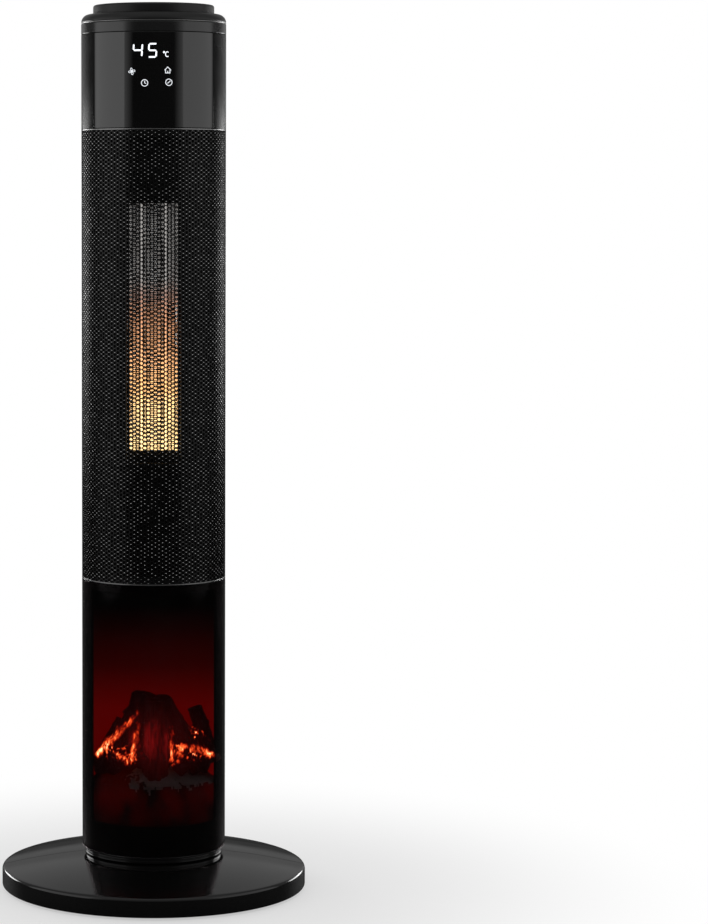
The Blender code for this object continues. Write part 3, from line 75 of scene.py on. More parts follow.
class Body(Enum):
    """The rigid bodies that pieces ride on."""

    BASE = "base"
    COLUMN = "column"
    PINION = "pinion"
    ROCKER = "switch_rocker"
    BLOWER = "blower"
    SPINDLE = "spindle"


# Colours and nodes


def linear(hex_colour: str) -> tuple[float, float, float, float]:
    """Turns an sRGB colour into the linear one that shaders take.

    Args:
        hex_colour: Red, green and blue as six hex digits after a hash sign.

    Returns:
        Linear red, green, blue and an alpha of one.
    """
    channels = [int(hex_colour[i : i + 2], 16) / 255 for i in (1, 3, 5)]
    return (*(c / 12.92 if c <= 0.04045 else ((c + 0.055) / 1.055) ** 2.4 for c in channels), 1.0)


def add_node(
    tree: NodeTree,
    kind: str,
    inputs: dict[Any, Any] | Sequence[Any] = (),
    out: str | int = 0,
    stops: Stops = (),
    into: bpy.types.NodeSocket | None = None,
    **settings: Any,
) -> Any:
    """Adds one node with its settings, values and links.

    Args:
        tree: The tree that gets the node.
        kind: The node's Blender type without the tree's own prefix, or a sum's operation in capitals.
        inputs: Values or output sockets, by the input's name or in the inputs' order. A vector may
            have sockets in it.
        out: Which output is wanted.
        stops: Places from 0 to 1 and their hex colours, for a node with a colour ramp.
        into: The input that gets the wanted output.
        **settings: Attributes of the node itself.

    Returns:
        The wanted output, or the node where it has none.
    """
    if kind.isupper():
        kind, settings["operation"] = "ShaderNodeMath", kind
    whole = kind.startswith(("ShaderNode", "FunctionNode", "NodeGroup"))
    made = tree.nodes.new(kind if whole else tree.bl_idname.removesuffix("Tree") + kind)
    for name, value in settings.items():
        setattr(made, name, value)
    for key, value in inputs.items() if isinstance(inputs, dict) else enumerate(inputs):
        if isinstance(value, tuple) and any(isinstance(part, bpy.types.NodeSocket) for part in value):
            value = add_node(tree, "ShaderNodeCombineXYZ", value)
        if isinstance(value, bpy.types.NodeSocket):
            tree.links.new(value, made.inputs[key])
        else:
            made.inputs[key].default_value = value
    while len(stops) > 2 and len(made.color_ramp.elements) < len(stops):
        made.color_ramp.elements.new(0.5)
    for number, (place, colour) in enumerate(stops):
        made.color_ramp.elements[number].position = place
        made.color_ramp.elements[number].color = linear(colour)
    if into:
        tree.links.new(made.outputs[out], into)
    return made.outputs[out] if made.outputs else made


def grain(tree: NodeTree, size: float, detail: float, squeeze: Sequence[float] = (1, 1, 1)) -> Any:
    """Makes a soft random pattern on object coordinates whose cells have a real size.

    Args:
        tree: The material's tree.
        size: The pattern's spacing in metres.
        detail: How many finer octaves it has.
        squeeze: How far the pattern is squeezed along each axis.

    Returns:
        The pattern's value, from 0 to 1 and mostly near the middle.
    """
    place = add_node(tree, "TexCoord", out="Object")
    scaled = add_node(tree, "Mapping", {"Vector": place, "Scale": squeeze})
    return add_node(tree, "TexNoise", {"Vector": scaled, "Scale": 1 / size, "Detail": detail})


# Finishes: each is named for the real material and how its surface was made


@dataclass(frozen=True)
class Finish:
    """A procedural material with one Principled shader.

    Attributes:
        name: The material's name in plain words.
        colour: Its sRGB colour.
        roughness: The mean roughness.
        metallic: One for bare metal.
        wander: How far the roughness goes up and down, as a share of its mean.
        patch: The size of the patches that it goes up and down in.
        texture: The spacing of the surface's relief.
        depth: How deep that relief is.
        squeeze: How far the relief is squeezed along each axis, for drawn or brushed lines.
        gleam: How much it reflects, where 0.5 is the usual amount for a plastic.
        rim: What a metal's reflections are tinted with where it is seen at a slant.
    """

    name: str
    colour: str
    roughness: float
    metallic: float = 0.0
    wander: float = 0.15
    patch: float = 40 * MM
    texture: float = 0.6 * MM
    depth: float = 0.01 * MM
    squeeze: tuple[float, float, float] = (1.0, 1.0, 1.0)
    gleam: float = 0.5
    rim: str = "#ffffff"

    def build(self) -> bpy.types.Material:
        """Makes the material, or returns it when it is there already."""
        found = bpy.data.materials.get(self.name)
        if found:
            return found
        made = bpy.data.materials.new(self.name)
        made.use_nodes = True
        tree = made.node_tree
        shader = tree.nodes["Principled BSDF"]
        shader.inputs["Base Color"].default_value = linear(self.colour)
        shader.inputs["Roughness"].default_value = self.roughness
        shader.inputs["Metallic"].default_value = self.metallic
        shader.inputs["Specular IOR Level"].default_value = self.gleam
        shader.inputs["Specular Tint"].default_value = linear(self.rim)
        made.diffuse_color = linear(self.colour)
        self.dull(tree, shader)
        self.dress(tree, shader)
        return made

    def dull(self, tree: NodeTree, shader: Any) -> None:
        """Lets the roughness wander in patches and adds the surface's fine relief."""
        inputs = {"Value": grain(tree, self.patch, 3.0), "From Min": FAINT, "From Max": STRONG}
        inputs |= {"To Min": self.roughness * (1 - self.wander), "To Max": self.roughness * (1 + self.wander)}
        add_node(tree, "MapRange", inputs, into=shader.inputs["Roughness"])
        inputs = {"Height": grain(tree, self.texture, 1.0, self.squeeze), "Distance": self.depth}
        add_node(tree, "Bump", inputs, into=shader.inputs["Normal"])

    def dress(self, tree: NodeTree, shader: Any) -> None:
        """Adds what is special to the finish. A plain finish has nothing more."""


@dataclass(frozen=True)
class Glossy(Finish):
    """Piano-black ABS or acrylic, mirror polished: a slight moulding waviness bends its reflections.

    Attributes:
        wave: The spacing of the waviness.
    """

    wave: float = 30 * MM

    def dull(self, tree: NodeTree, shader: Any) -> None:
        """Only wipe marks dull the gloss, and only long waves bend it."""
        inputs = {"Value": grain(tree, self.patch, 4.0, (1, 1, 0.3)), "From Min": 0.4, "From Max": 0.75}
        inputs |= {"To Min": self.roughness, "To Max": self.roughness * (1 + self.wander)}
        add_node(tree, "MapRange", inputs, into=shader.inputs["Roughness"])
        inputs = {"Height": grain(tree, self.wave, 0.0), "Distance": self.depth}
        add_node(tree, "Bump", inputs, into=shader.inputs["Normal"])


@dataclass(frozen=True)
class Speckled(Finish):
    """A dark perforated metal with a painted highlight, a pale speck, between two holes of a column.

    Attributes:
        speck: The sRGB colour of the specks, which are painted highlights.
        radius: The radius that the sheet is bent to.
        across: The spacing of its columns of holes.
        upwards: The spacing of its holes in a column.
        foot: The height of its lowest holes.
        faint: The strength where a speck starts to show.
        clear: The strength where it has its full colour.
        highlight_level: The strength of the weakest painted highlights, where the strongest have 1.
    """

    speck: str = "#bcbcbc"
    radius: float = 79 * MM
    across: float = 3.9 * MM
    upwards: float = 4.503 * MM
    foot: float = 351.31 * MM
    faint: float = 0.82
    clear: float = 0.93
    highlight_level: float = 0.84

    def dress(self, tree: NodeTree, shader: Any) -> None:
        """Adds the specks, painted highlights that aren't metallic and so look pale from everywhere."""
        place = add_node(tree, "TexCoord", out="Object")
        x, y, z = add_node(tree, "SeparateXYZ", [place]).node.outputs
        turn = add_node(tree, "ARCTAN2", [x, add_node(tree, "MULTIPLY", [y, -1.0])])
        sideways = add_node(tree, "MULTIPLY", [turn, math.pi * self.radius / self.across])
        height = add_node(tree, "SUBTRACT", [z, self.foot])
        upright = add_node(tree, "MULTIPLY", [height, math.tau / self.upwards])
        columns, rows = add_node(tree, "SINE", [sideways]), add_node(tree, "COSINE", [upright])
        webs = add_node(tree, "MULTIPLY", [columns, rows])
        # Painted highlights: the pale specks on the webs, some weaker in patches
        inputs = {"Value": grain(tree, self.upwards, 0.0), "From Min": FAINT, "From Max": 0.55}
        highlight_level = add_node(tree, "MapRange", inputs | {"To Min": self.highlight_level})
        spots = add_node(tree, "MULTIPLY", [webs, highlight_level])
        stops = ((0.0, self.colour), (self.faint, self.colour), (self.clear, self.speck))
        add_node(tree, "ValToRGB", [spots], out="Color", stops=stops, into=shader.inputs["Base Color"])
        inputs = {"Value": spots, "From Min": self.clear, "From Max": self.faint}
        add_node(tree, "MapRange", inputs, into=shader.inputs["Metallic"])


@dataclass(frozen=True)
class Smoked(Glossy):
    """Smoked clear acrylic with a low-glare face: dark and glossy, with the fire seen through its tint."""

    def dress(self, tree: NodeTree, shader: Any) -> None:
        """Light goes on through the sheet, tinted by the colour."""
        shader.inputs["Transmission Weight"].default_value = 1.0
        shader.inputs["IOR"].default_value = 1.14


@dataclass(frozen=True)
class Glow(Finish):
    """Something that shines by itself, evenly, such as a lit segment behind a lens.

    Attributes:
        light: The light's sRGB colour.
        strength: How strongly it shines, where 1 shows the colour as written.
    """

    light: str = "#ffffff"
    strength: float = 1.0

    def dress(self, tree: NodeTree, shader: Any) -> None:
        """The shader's own light does it."""
        shader.inputs["Emission Color"].default_value = linear(self.light)
        shader.inputs["Emission Strength"].default_value = self.strength


@dataclass(frozen=True)
class HeightGlow(Finish):
    """Metal or resin that is lit from below: its own light changes with the height.

    Attributes:
        low: The height where the ramp starts.
        high: The height where it ends.
        stops: Places along the ramp with their sRGB light colours.
        strength: How strongly it shines.
        mottle: How much a pattern breaks up the light, from 0 to 1.
        cell: The size of that pattern.
    """

    low: float = 0.0
    high: float = 1.0
    stops: Stops = ((0.0, "#000000"), (1.0, "#ffffff"))
    strength: float = 1.0
    mottle: float = 0.0
    cell: float = 20 * MM

    def dress(self, tree: NodeTree, shader: Any) -> None:
        """The light's colour follows the height, and the pattern dims it in patches."""
        place = add_node(tree, "TexCoord", out="Object")
        height = add_node(tree, "SeparateXYZ", [place], out="Z")
        along = add_node(tree, "MapRange", {"Value": height, "From Min": self.low, "From Max": self.high})
        light = shader.inputs["Emission Color"]
        add_node(tree, "ValToRGB", [along], out="Color", stops=self.stops, into=light)
        if not self.mottle:
            shader.inputs["Emission Strength"].default_value = self.strength
            return
        inputs = {"Value": grain(tree, self.cell, 3.0, (1, 0.2, 0.6)), "From Min": 0.4, "From Max": 0.62}
        inputs |= {"To Min": self.strength * (1 - self.mottle), "To Max": self.strength}
        add_node(tree, "MapRange", inputs, into=shader.inputs["Emission Strength"])


@dataclass(frozen=True)
class Charred(Finish):
    """Painted resin log: dark charred bark with grooves, and glowing orange where the edges are thin.

    The piece's own attribute says where it glows, so that the light follows the log's edges.

    Attributes:
        bark: The spacing of the bark's ridges across the grain.
        glow: How strongly the edges shine.
        flame: The light of the edges, from their rim to their middle.
        ember: The light of the bark, from black to its reddest.
    """

    bark: float = 4 * MM
    glow: float = 7.0
    flame: Stops = (
        (0.0, "#000000"), (0.25, "#4e0702"), (0.5, "#b03412"), (0.75, "#ee7a3c"), (1.0, "#ffd49a")
    )
    ember: Stops = ((0.0, "#020000"), (0.35, "#1c0202"), (0.6, "#4a0606"), (0.8, "#7d1010"))

    def dress(self, tree: NodeTree, shader: Any) -> None:
        """Cracks open the glow in a broken line, and the bark gets a painted red glow from black to deep red.
        """
        edge = add_node(tree, "Attribute", out="Fac", attribute_name="glow")
        red = add_node(tree, "Attribute", out="Fac", attribute_name="warm")
        cracks = add_node(tree, "MULTIPLY", [edge, grain(tree, self.bark, 4.0, (1, 1, 0.55))])
        hot = add_node(tree, "MapRange", {"Value": cracks, "From Min": 0.2, "From Max": 0.56})
        flame = add_node(tree, "ValToRGB", [hot], out="Color", stops=self.flame)
        deep = add_node(tree, "MULTIPLY", [red, grain(tree, self.bark * 2, 3.0, (1, 1, 0.25))])
        embers = add_node(tree, "ValToRGB", [deep], out="Color", stops=self.ember)
        add_node(tree, "VectorMath", [flame, embers], operation="ADD", into=shader.inputs["Emission Color"])
        shader.inputs["Emission Strength"].default_value = self.glow


# Shapes


def fillet(corners: Sequence[tuple[float, float, float]], steps: int = 4) -> list[Point]:
    """Rounds the corners of a closed outline.

    Args:
        corners: Places with the radius that each corner is rounded to.
        steps: Into how many pieces each round is divided.

    Returns:
        The outline's points in the same order.
    """
    outline: list[Point] = []
    for number, (x, y, radius) in enumerate(corners):
        here = Vector((x, y))
        before = Vector(corners[number - 1][:2]) - here
        after = Vector(corners[(number + 1) % len(corners)][:2]) - here
        turn = before.angle(after) if before.length and after.length else math.pi
        if radius <= 0 or turn > math.radians(179):
            outline.append((x, y))
            continue
        reach = min(radius / math.tan(turn / 2), before.length * 0.49, after.length * 0.49)
        true = reach * math.tan(turn / 2)
        middle = here + (before.normalized() + after.normalized()).normalized() * (true / math.sin(turn / 2))
        start, end = here + before.normalized() * reach - middle, here + after.normalized() * reach - middle
        sweep = start.angle_signed(end)
        for step in range(steps + 1):
            point = middle + start @ Matrix.Rotation(sweep * step / steps, 2)
            outline.append((point.x, point.y))
    return outline


def oblong(
    width: float, height: float, radius: float, centre: Point = (0.0, 0.0), steps: int = 4
) -> list[Point]:
    """An upright rectangle with rounded corners.

    Args:
        width: Its size across.
        height: Its size upwards.
        radius: Its corner radius.
        centre: Its middle.
        steps: Into how many pieces each round is divided.

    Returns:
        Its points, anticlockwise.
    """
    x, y = width / 2, height / 2
    corners = ((-x, -y), (x, -y), (x, y), (-x, y))
    return fillet([(a + centre[0], b + centre[1], radius) for a, b in corners], steps)


def round_outline(radius: float, centre: Point, sides: int) -> list[Point]:
    """A circle's points, anticlockwise."""
    turns = [2 * math.pi * step / sides for step in range(sides)]
    return [(centre[0] + radius * math.cos(turn), centre[1] + radius * math.sin(turn)) for turn in turns]


def as_object(name: str, source: bmesh.types.BMesh, sharp: float = 32.0) -> Piece:
    """Turns a bmesh into a smooth-shaded object with its sharp edges marked.

    Args:
        name: The object's name.
        source: The mesh, which is freed.
        sharp: Edges that turn by more degrees than this stay sharp.

    Returns:
        The linked object.
    """
    bmesh.ops.remove_doubles(source, verts=source.verts, dist=0.000002)
    bmesh.ops.dissolve_degenerate(source, edges=source.edges, dist=0.0000005)
    bmesh.ops.recalc_face_normals(source, faces=source.faces)
    mesh = bpy.data.meshes.new(name)
    source.to_mesh(mesh)
    source.free()
    mesh.shade_smooth()
    mesh.set_sharp_from_angle(angle=math.radians(sharp))
    return put(name, mesh)


def put(name: str, data: Any) -> Piece:
    """Links a new object with its data into the scene."""
    made = bpy.data.objects.new(name, data)
    bpy.context.scene.collection.objects.link(made)
    return made


def cut(piece: Piece, tool: Piece, crossed: bool = False) -> Piece:
    """Cuts a tool out of a piece and deletes it. Crossed says that the tool's own shapes cross."""
    hole = piece.modifiers.new("hole", "BOOLEAN")
    hole.object, hole.solver, hole.use_self = tool, "EXACT", crossed
    settled(piece)
    bpy.data.objects.remove(tool)
    return piece


def settled(piece: Piece) -> Piece:
    """Bakes the modifiers of a piece into a plain mesh."""
    view = bpy.context.evaluated_depsgraph_get()
    view.update()
    mesh = bpy.data.meshes.new_from_object(piece.evaluated_get(view))
    piece.modifiers.clear()
    piece.data = mesh
    return piece


def true_round(piece: Piece) -> Piece:
    """Gives the upright faces round the axis exactly radial normals, so that reflections run straight.

    Args:
        piece: A piece whose axis is the column's.

    Returns:
        The piece.
    """
    mesh = piece.data
    ways = [Vector((v.co.x, v.co.y, 0.0)).normalized() for v in mesh.vertices]
    sides: dict[int, float] = {}
    for face in mesh.polygons:
        middle = Vector((face.center.x, face.center.y, 0.0)).normalized()
        if abs(face.normal.dot(middle)) > 0.995:
            sides |= {v: math.copysign(1.0, face.normal.dot(middle)) for v in face.vertices}
    normals = []
    for face in mesh.polygons:
        for corner in face.loop_indices:
            v = mesh.loops[corner].vertex_index
            true = ways[v] * sides.get(v, 0.0)
            normals.append(true if face.normal.dot(true) > 0.6 else mesh.corner_normals[corner].vector.copy())
    mesh.normals_split_custom_set(normals)
    return piece


def turned(name: str, profile: Profile, sides: int = 160, first: float = 0.0, last: float = 360.0) -> Piece:
    """Turns a closed outline of radii and heights round the column's axis.

    Args:
        name: The object's name.
        profile: The outline's points, as radius and height.
        sides: The facets of a whole turn.
        first: The angle where it starts.
        last: The angle where it ends.

    Returns:
        The closed object.
    """
    source = bmesh.new()
    whole = last - first >= FULL_TURN
    count = round(sides * (last - first) / FULL_TURN)
    rings = []
    for step in range(count if whole else count + 1):
        turn = math.radians(first + (last - first) * step / count)
        rings.append([source.verts.new((r * math.sin(turn), -r * math.cos(turn), z)) for r, z in profile])
    for step in range(count):
        one, two = rings[step], rings[(step + 1) % len(rings)]
        for k, (radius, _) in enumerate(profile):
            m = (k + 1) % len(profile)
            if radius > 0 or profile[m][0] > 0:
                source.faces.new((one[k], two[k], two[m], one[m]))
    if not whole:
        source.faces.new(rings[0])
        source.faces.new(reversed(rings[-1]))
    return as_object(name, source)


def skin(source: bmesh.types.BMesh, one: Sequence[Any], two: Sequence[Any]) -> None:
    """Closes the band between two rings of points with faces."""
    for k in range(len(one)):
        m = (k + 1) % len(one)
        source.faces.new((one[k], one[m], two[m], two[k]))


def prism(source: bmesh.types.BMesh, outline: Sequence[Point], front: float, back: float) -> None:
    """Adds an outline in x and z as a closed slab between two depths.

    Args:
        source: The mesh that gets it.
        outline: Its points.
        front: The depth of its front face.
        back: The depth of its back face.
    """
    near = [source.verts.new((x, front, z)) for x, z in outline]
    far = [source.verts.new((x, back, z)) for x, z in outline]
    source.faces.new(near)
    source.faces.new(reversed(far))
    for k in range(len(outline)):
        m = (k + 1) % len(outline)
        source.faces.new((near[m], near[k], far[k], far[m]))


def bend(source: bmesh.types.BMesh, radius: float, step: float = 1.5) -> None:
    """Bends a flat mesh round the column. Its x runs along the arc and its y goes inwards.

    Args:
        source: The flat mesh.
        radius: The radius that the plane y = 0 is bent to.
        step: The turn between two of the cuts that let it bend, in degrees.
    """
    width = radius * math.radians(step)
    reach = [v.co.x for v in source.verts]
    for number in range(math.ceil(min(reach) / width), math.floor(max(reach) / width) + 1):
        everything = [*source.verts, *source.edges, *source.faces]
        place = (number * width, 0, 0)
        bmesh.ops.bisect_plane(source, geom=everything, dist=0.000001, plane_co=place, plane_no=(1, 0, 0))
    for v in source.verts:
        turn, out = v.co.x / radius, radius - v.co.y
        v.co = (out * math.sin(turn), -out * math.cos(turn), v.co.z)


@dataclass
class Sheet:
    """A curved plate of the column, which is cut and edged while flat and then bent.

    Attributes:
        name: The object's name.
        first: The angle of one upright edge.
        last: The angle of the other.
        low: The height of the lower edge.
        high: The height of the upper edge.
        outer: The radius of its outer face.
        thickness: Its wall.
        openings: Outlines as arc length at the outer face and height, each with its depth.
        edge: How far its edges are rounded.
        corner: The radius of its own corners.
    """

    name: str
    first: float
    last: float
    low: float
    high: float
    outer: float
    thickness: float
    openings: list[tuple[list[Point], float]] = field(default_factory=list)
    edge: float = 0.35 * MM
    corner: float = 0.4 * MM

    def arc(self, angle: float) -> float:
        """The length along the outer face from the front to an angle."""
        return self.outer * math.radians(angle)

    def build(self) -> Piece:
        """Makes the plate."""
        flat = bmesh.new()
        width, height = self.arc(self.last - self.first), self.high - self.low
        middle = (self.arc((self.first + self.last) / 2), (self.low + self.high) / 2)
        prism(flat, oblong(width, height, self.corner, middle, 2), 0.0, self.thickness)
        plate = as_object(self.name, flat)
        if self.openings:
            cutter = bmesh.new()
            for outline, depth in self.openings:
                prism(cutter, outline, -2 * MM, depth)
            cut(plate, as_object("tool", cutter))
        round_edges(plate, self.edge)
        source = bmesh.new()
        source.from_mesh(plate.data)
        bpy.data.objects.remove(plate)
        bend(source, self.outer)
        return true_round(as_object(self.name, source))


def round_edges(piece: Piece, width: float, segments: int = 2) -> Piece:
    """Rounds a piece's sharp edges and keeps the result."""
    rounding = piece.modifiers.new("edges", "BEVEL")
    rounding.width, rounding.segments = width, segments
    rounding.limit_method, rounding.angle_limit = "ANGLE", math.radians(40)
    rounding.miter_outer = "MITER_ARC"
    return settled(piece)


def cube(source: bmesh.types.BMesh, size: Sequence[float], centre: Sequence[float]) -> None:
    """Adds a box to a mesh."""
    bmesh.ops.create_cube(source, size=1.0, matrix=Matrix.Translation(centre) @ Matrix.Diagonal((*size, 1.0)))


def block(name: str, size: Sequence[float], centre: Sequence[float], edge: float, segments: int = 2) -> Piece:
    """A box with rounded edges.

    Args:
        name: The object's name.
        size: Its size along each axis.
        centre: Its middle.
        edge: How far its edges are rounded.
        segments: Into how many faces each round is divided.

    Returns:
        The object.
    """
    source = bmesh.new()
    cube(source, size, centre)
    bmesh.ops.bevel(source, geom=source.edges[:], offset=edge, segments=segments, affect="EDGES", profile=0.5)
    return as_object(name, source)


def together(name: str, *pieces: Piece) -> Piece:
    """Joins separate closed shapes into one object, with their materials."""
    source = bmesh.new()
    finishes: list[bpy.types.Material] = []
    for piece in pieces:
        start = len(source.faces)
        source.from_mesh(piece.data)
        source.faces.ensure_lookup_table()
        for material in piece.data.materials:
            if material not in finishes:
                finishes.append(material)
        for face in source.faces[start:]:
            if piece.data.materials:
                face.material_index = finishes.index(piece.data.materials[face.material_index])
    made = as_object(name, source)
    for material in finishes:
        made.data.materials.append(material)
    for piece in pieces:
        bpy.data.objects.remove(piece)
    return made


# Trees of Geometry Nodes


class Tree:
    """A Geometry Nodes tree with named inputs, which grows one piece.

    Attributes:
        nodes: The tree itself.
        given: The inputs' sockets by name.
        values: The inputs' values by name.
    """

    def __init__(self, name: str, values: dict[str, float | int]) -> None:
        """Makes the tree and its inputs.

        Args:
            name: What the tree makes.
            values: The inputs' names and values.
        """
        self.nodes = bpy.data.node_groups.new(name, "GeometryNodeTree")
        self.values = values
        ports = self.nodes.interface
        ports.new_socket("Geometry", in_out="INPUT", socket_type="NodeSocketGeometry")
        for key, value in values.items():
            kind = "NodeSocketInt" if isinstance(value, int) else "NodeSocketFloat"
            ports.new_socket(key, in_out="INPUT", socket_type=kind)
        ports.new_socket("Geometry", in_out="OUTPUT", socket_type="NodeSocketGeometry")
        source = self.nodes.nodes.new("NodeGroupInput")
        self.given = {key: source.outputs[key] for key in ("Geometry", *values)}

    def add(self, kind: str, inputs: Any = (), **settings: Any) -> Any:
        """Adds a node to this tree."""
        return add_node(self.nodes, kind, inputs, **settings)

    def grow(self, name: str, geometry: Any, finish: Finish, start: Sequence[Sequence[float]] = ()) -> Piece:
        """Ends the tree in real geometry with its material, runs it and keeps the plain mesh.

        Args:
            name: The object's name.
            geometry: The tree's last socket.
            finish: The piece's finish.
            start: Points that the tree starts from.

        Returns:
            The finished object.
        """
        real = self.add("RealizeInstances", [geometry])
        dressed = self.add("SetMaterial", {"Geometry": real, "Material": finish.build()})
        self.add("NodeGroupOutput", [dressed])
        mesh = bpy.data.meshes.new(name)
        mesh.from_pydata([tuple(point) for point in start], [], [])
        made = put(name, mesh)
        modifier = made.modifiers.new("growth", "NODES")
        modifier.node_group = self.nodes
        for port in self.nodes.interface.items_tree:
            if port.in_out == "INPUT" and port.name in self.values:
                modifier[port.identifier] = self.values[port.name]
        settled(made)
        made.data.shade_smooth()
        made.data.set_sharp_from_angle(angle=math.radians(32))
        return made


# The finishes of this heater

# ABS with a satin spark-eroded skin: an even black with broad soft highlights
SHELL = Finish(
    "satin moulded ABS", "#101010", 0.34, texture=0.5 * MM, depth=0.004 * MM, wander=0.12, gleam=0.8
)
# The same plastic under a matt lacquer: a quiet dark grey with weak highlights
LACQUER = Finish("matt lacquered ABS", "#0e0e0e", 0.24, texture=0.5 * MM, depth=0.004 * MM, gleam=0.1)
# The same plastic with a fine moulded grain: the quiet dark grey of the top
SATIN = Finish("fine grained ABS", "#171717", 0.34, texture=0.5 * MM, depth=0.004 * MM, gleam=0.35)
# The same plastic, half polished: its reflections are there but soft
SEMI_GLOSS = Finish("half polished ABS", "#0c0c0c", 0.19, texture=0.5 * MM, depth=0.002 * MM, gleam=0.8)
# The same plastic inside, never polished: duller and a little greyer
INNER = Finish("matt moulded ABS", "#101010", 0.62, texture=0.8 * MM, depth=0.01 * MM, gleam=0.25)
# ABS polished in the mould: black with mirror reflections
PIANO = Glossy("piano black ABS", "#060606", 0.07, wander=1.2, depth=0.02 * MM)
# Cast acrylic painted black on its back: the deepest gloss
GLASS_BLACK = Glossy("back-painted acrylic", "#030303", 0.05, wander=1.0, depth=0.008 * MM, gleam=0.95)
# Extruded acrylic with a smoky tint: glossy, and the fire shows through it
SMOKE = Smoked("smoked acrylic sheet", "#8c8486", 0.03, wander=1.0, depth=0.006 * MM)
# Steel sheet, perforated and powder coated: dark, with a painted highlight, a pale speck, between two holes
MESH_STEEL = Speckled(
    "dark coated perforated steel", "#323232", 0.34, 1.0, texture=1.6 * MM, depth=0.22 * MM, rim="#b2b2b2"
)
# Steel strip with a thin chrome flash: the pale lines round the glass
TRIM = Finish(
    "chromed steel strip", "#9c9c9c", 0.3, 1.0, texture=0.5 * MM, depth=0.003 * MM, squeeze=(1, 1, 0.1)
)
# Zinc-plated screws: a pale grey metal with turned lines
ZINC = Finish("zinc plated steel", "#a6a6a2", 0.33, 1.0, texture=0.35 * MM, depth=0.006 * MM)
# Blackened screws: an oily dark metal
BLACK_STEEL = Finish("blackened steel", "#1c1c1d", 0.4, 0.8, texture=0.35 * MM, depth=0.006 * MM)
# Rolled motor housings: grey steel with faint rolling lines
STEEL = Finish(
    "rolled steel", "#8d8f90", 0.38, 1.0, texture=0.7 * MM, depth=0.006 * MM, squeeze=(0.06, 0.06, 1)
)
# Galvanised sheet of the blower's walls: grey with soft spangle
GALVANISED = Finish("galvanised sheet", "#8b8d8c", 0.42, 1.0, wander=0.35, patch=9 * MM, depth=0.004 * MM)
# Sintered bronze bearings: warm and slightly porous
BRONZE = Finish("sintered bronze", "#a8834e", 0.45, 1.0, texture=0.3 * MM, depth=0.01 * MM)
# Extruded aluminium: bright, with fine lines along it
ALUMINIUM = Finish(
    "extruded aluminium", "#b4b6b8", 0.32, 1.0, texture=0.5 * MM, depth=0.005 * MM, squeeze=(1, 1, 0.04)
)
# Turned nylon: creamy white, slightly waxy
NYLON = Finish("natural nylon", "#d9d5c6", 0.42, texture=0.7 * MM, depth=0.006 * MM)
# Moulded rubber: dark, dull and soft-edged
RUBBER = Finish("moulded rubber", "#1a1a1a", 0.82, texture=0.5 * MM, depth=0.02 * MM)
# Transparent red polycarbonate over a lamp: a saturated red with a wet gloss
ROCKER_RED = Glow("lit red polycarbonate", "#a01412", 0.16, depth=0.003 * MM, light="#c01412", strength=0.12)
# Polyester foil with a brushed silver print, left blank
FOIL = Finish(
    "brushed silver foil", "#bcbebf", 0.4, 0.35, texture=0.5 * MM, depth=0.003 * MM, squeeze=(0.08, 0.08, 1)
)
# Fibreglass board with green resist: glossy green with a faint weave
BOARD = Finish("solder-resist fibreglass", "#17422a", 0.38, texture=0.9 * MM, depth=0.006 * MM)
# White diffusers of the digits, lit from behind
DIGITS = Glow("lit white diffuser", "#e8eef2", 0.5, light="#f4f8ff", strength=1.0)
# White print on the glass, faintly lit
SYMBOLS = Glow("backlit white print", "#c9cdd0", 0.5, light="#e4e8ee", strength=0.85)
# Cast grey ash over resin: dull grey with dark hollows
ASH = Finish("painted resin ash", "#8c847f", 0.9, texture=2.2 * MM, depth=0.6 * MM)
# Painted resin logs with glowing cracks
LOG_BARK = Charred(
    "charred resin bark", "#0d0605", 0.85, texture=2.5 * MM, depth=0.7 * MM, squeeze=(1, 1, 0.3)
)
# Printed film lit from below: dark red that fades to black upwards
SCREEN = HeightGlow(
    "backlit flame film",
    "#050000",
    0.7,
    low=0.10,
    high=0.34,
    stops=((0.0, "#5c0000"), (0.42, "#560101"), (0.62, "#2c0000"), (0.8, "#100000"), (0.9, "#000000")),
    strength=2.7,
    texture=3 * MM,
    depth=0.001 * MM,
)
# Resin embers over lamps: black crust with red light in its hollows
EMBERS = HeightGlow(
    "backlit resin embers",
    "#0b0807",
    0.85,
    texture=3 * MM,
    depth=1.0 * MM,
    low=0.083,
    high=0.15,
    stops=((0.0, "#160000"), (0.45, "#300000"), (0.8, "#240100"), (1.0, "#3c0402")),
    strength=2.4,
    mottle=0.95,
    cell=26 * MM,
)
# The heights between which the element's painted glow falls off
GLOW_FOOT, GLOW_HEAD = 0.489, 0.766
# Colours of the painted glow, light from below on the element, from its foot upwards
PAINTED_GLOW: Stops = (
    (0.0, "#ffd896"),
    (0.20, "#ffd290"),
    (0.26, "#eab072"),
    (0.40, "#cf9668"),
    (0.54, "#a87656"),
    (0.63, "#7a5e52"),
    (0.70, "#6c6a68"),
)
# Aluminium fins with a painted glow, light from below: brightest at their foot, it falls off with the height
PAINTED_GLOW_FINS = HeightGlow(
    "aluminium fins with painted glow",
    "#77736e",
    0.5,
    0.7,
    low=GLOW_FOOT,
    high=GLOW_HEAD,
    stops=PAINTED_GLOW,
    strength=1.9,
    mottle=0.35,
    cell=14 * MM,
)
# The mica and steel round the fins, smoother and with a brighter painted glow
PAINTED_GLOW_FRAME = HeightGlow(
    "mica frame with painted glow", "#8a8680", 0.45, 0.5, low=GLOW_FOOT, high=GLOW_HEAD, stops=PAINTED_GLOW, strength=2.3
)
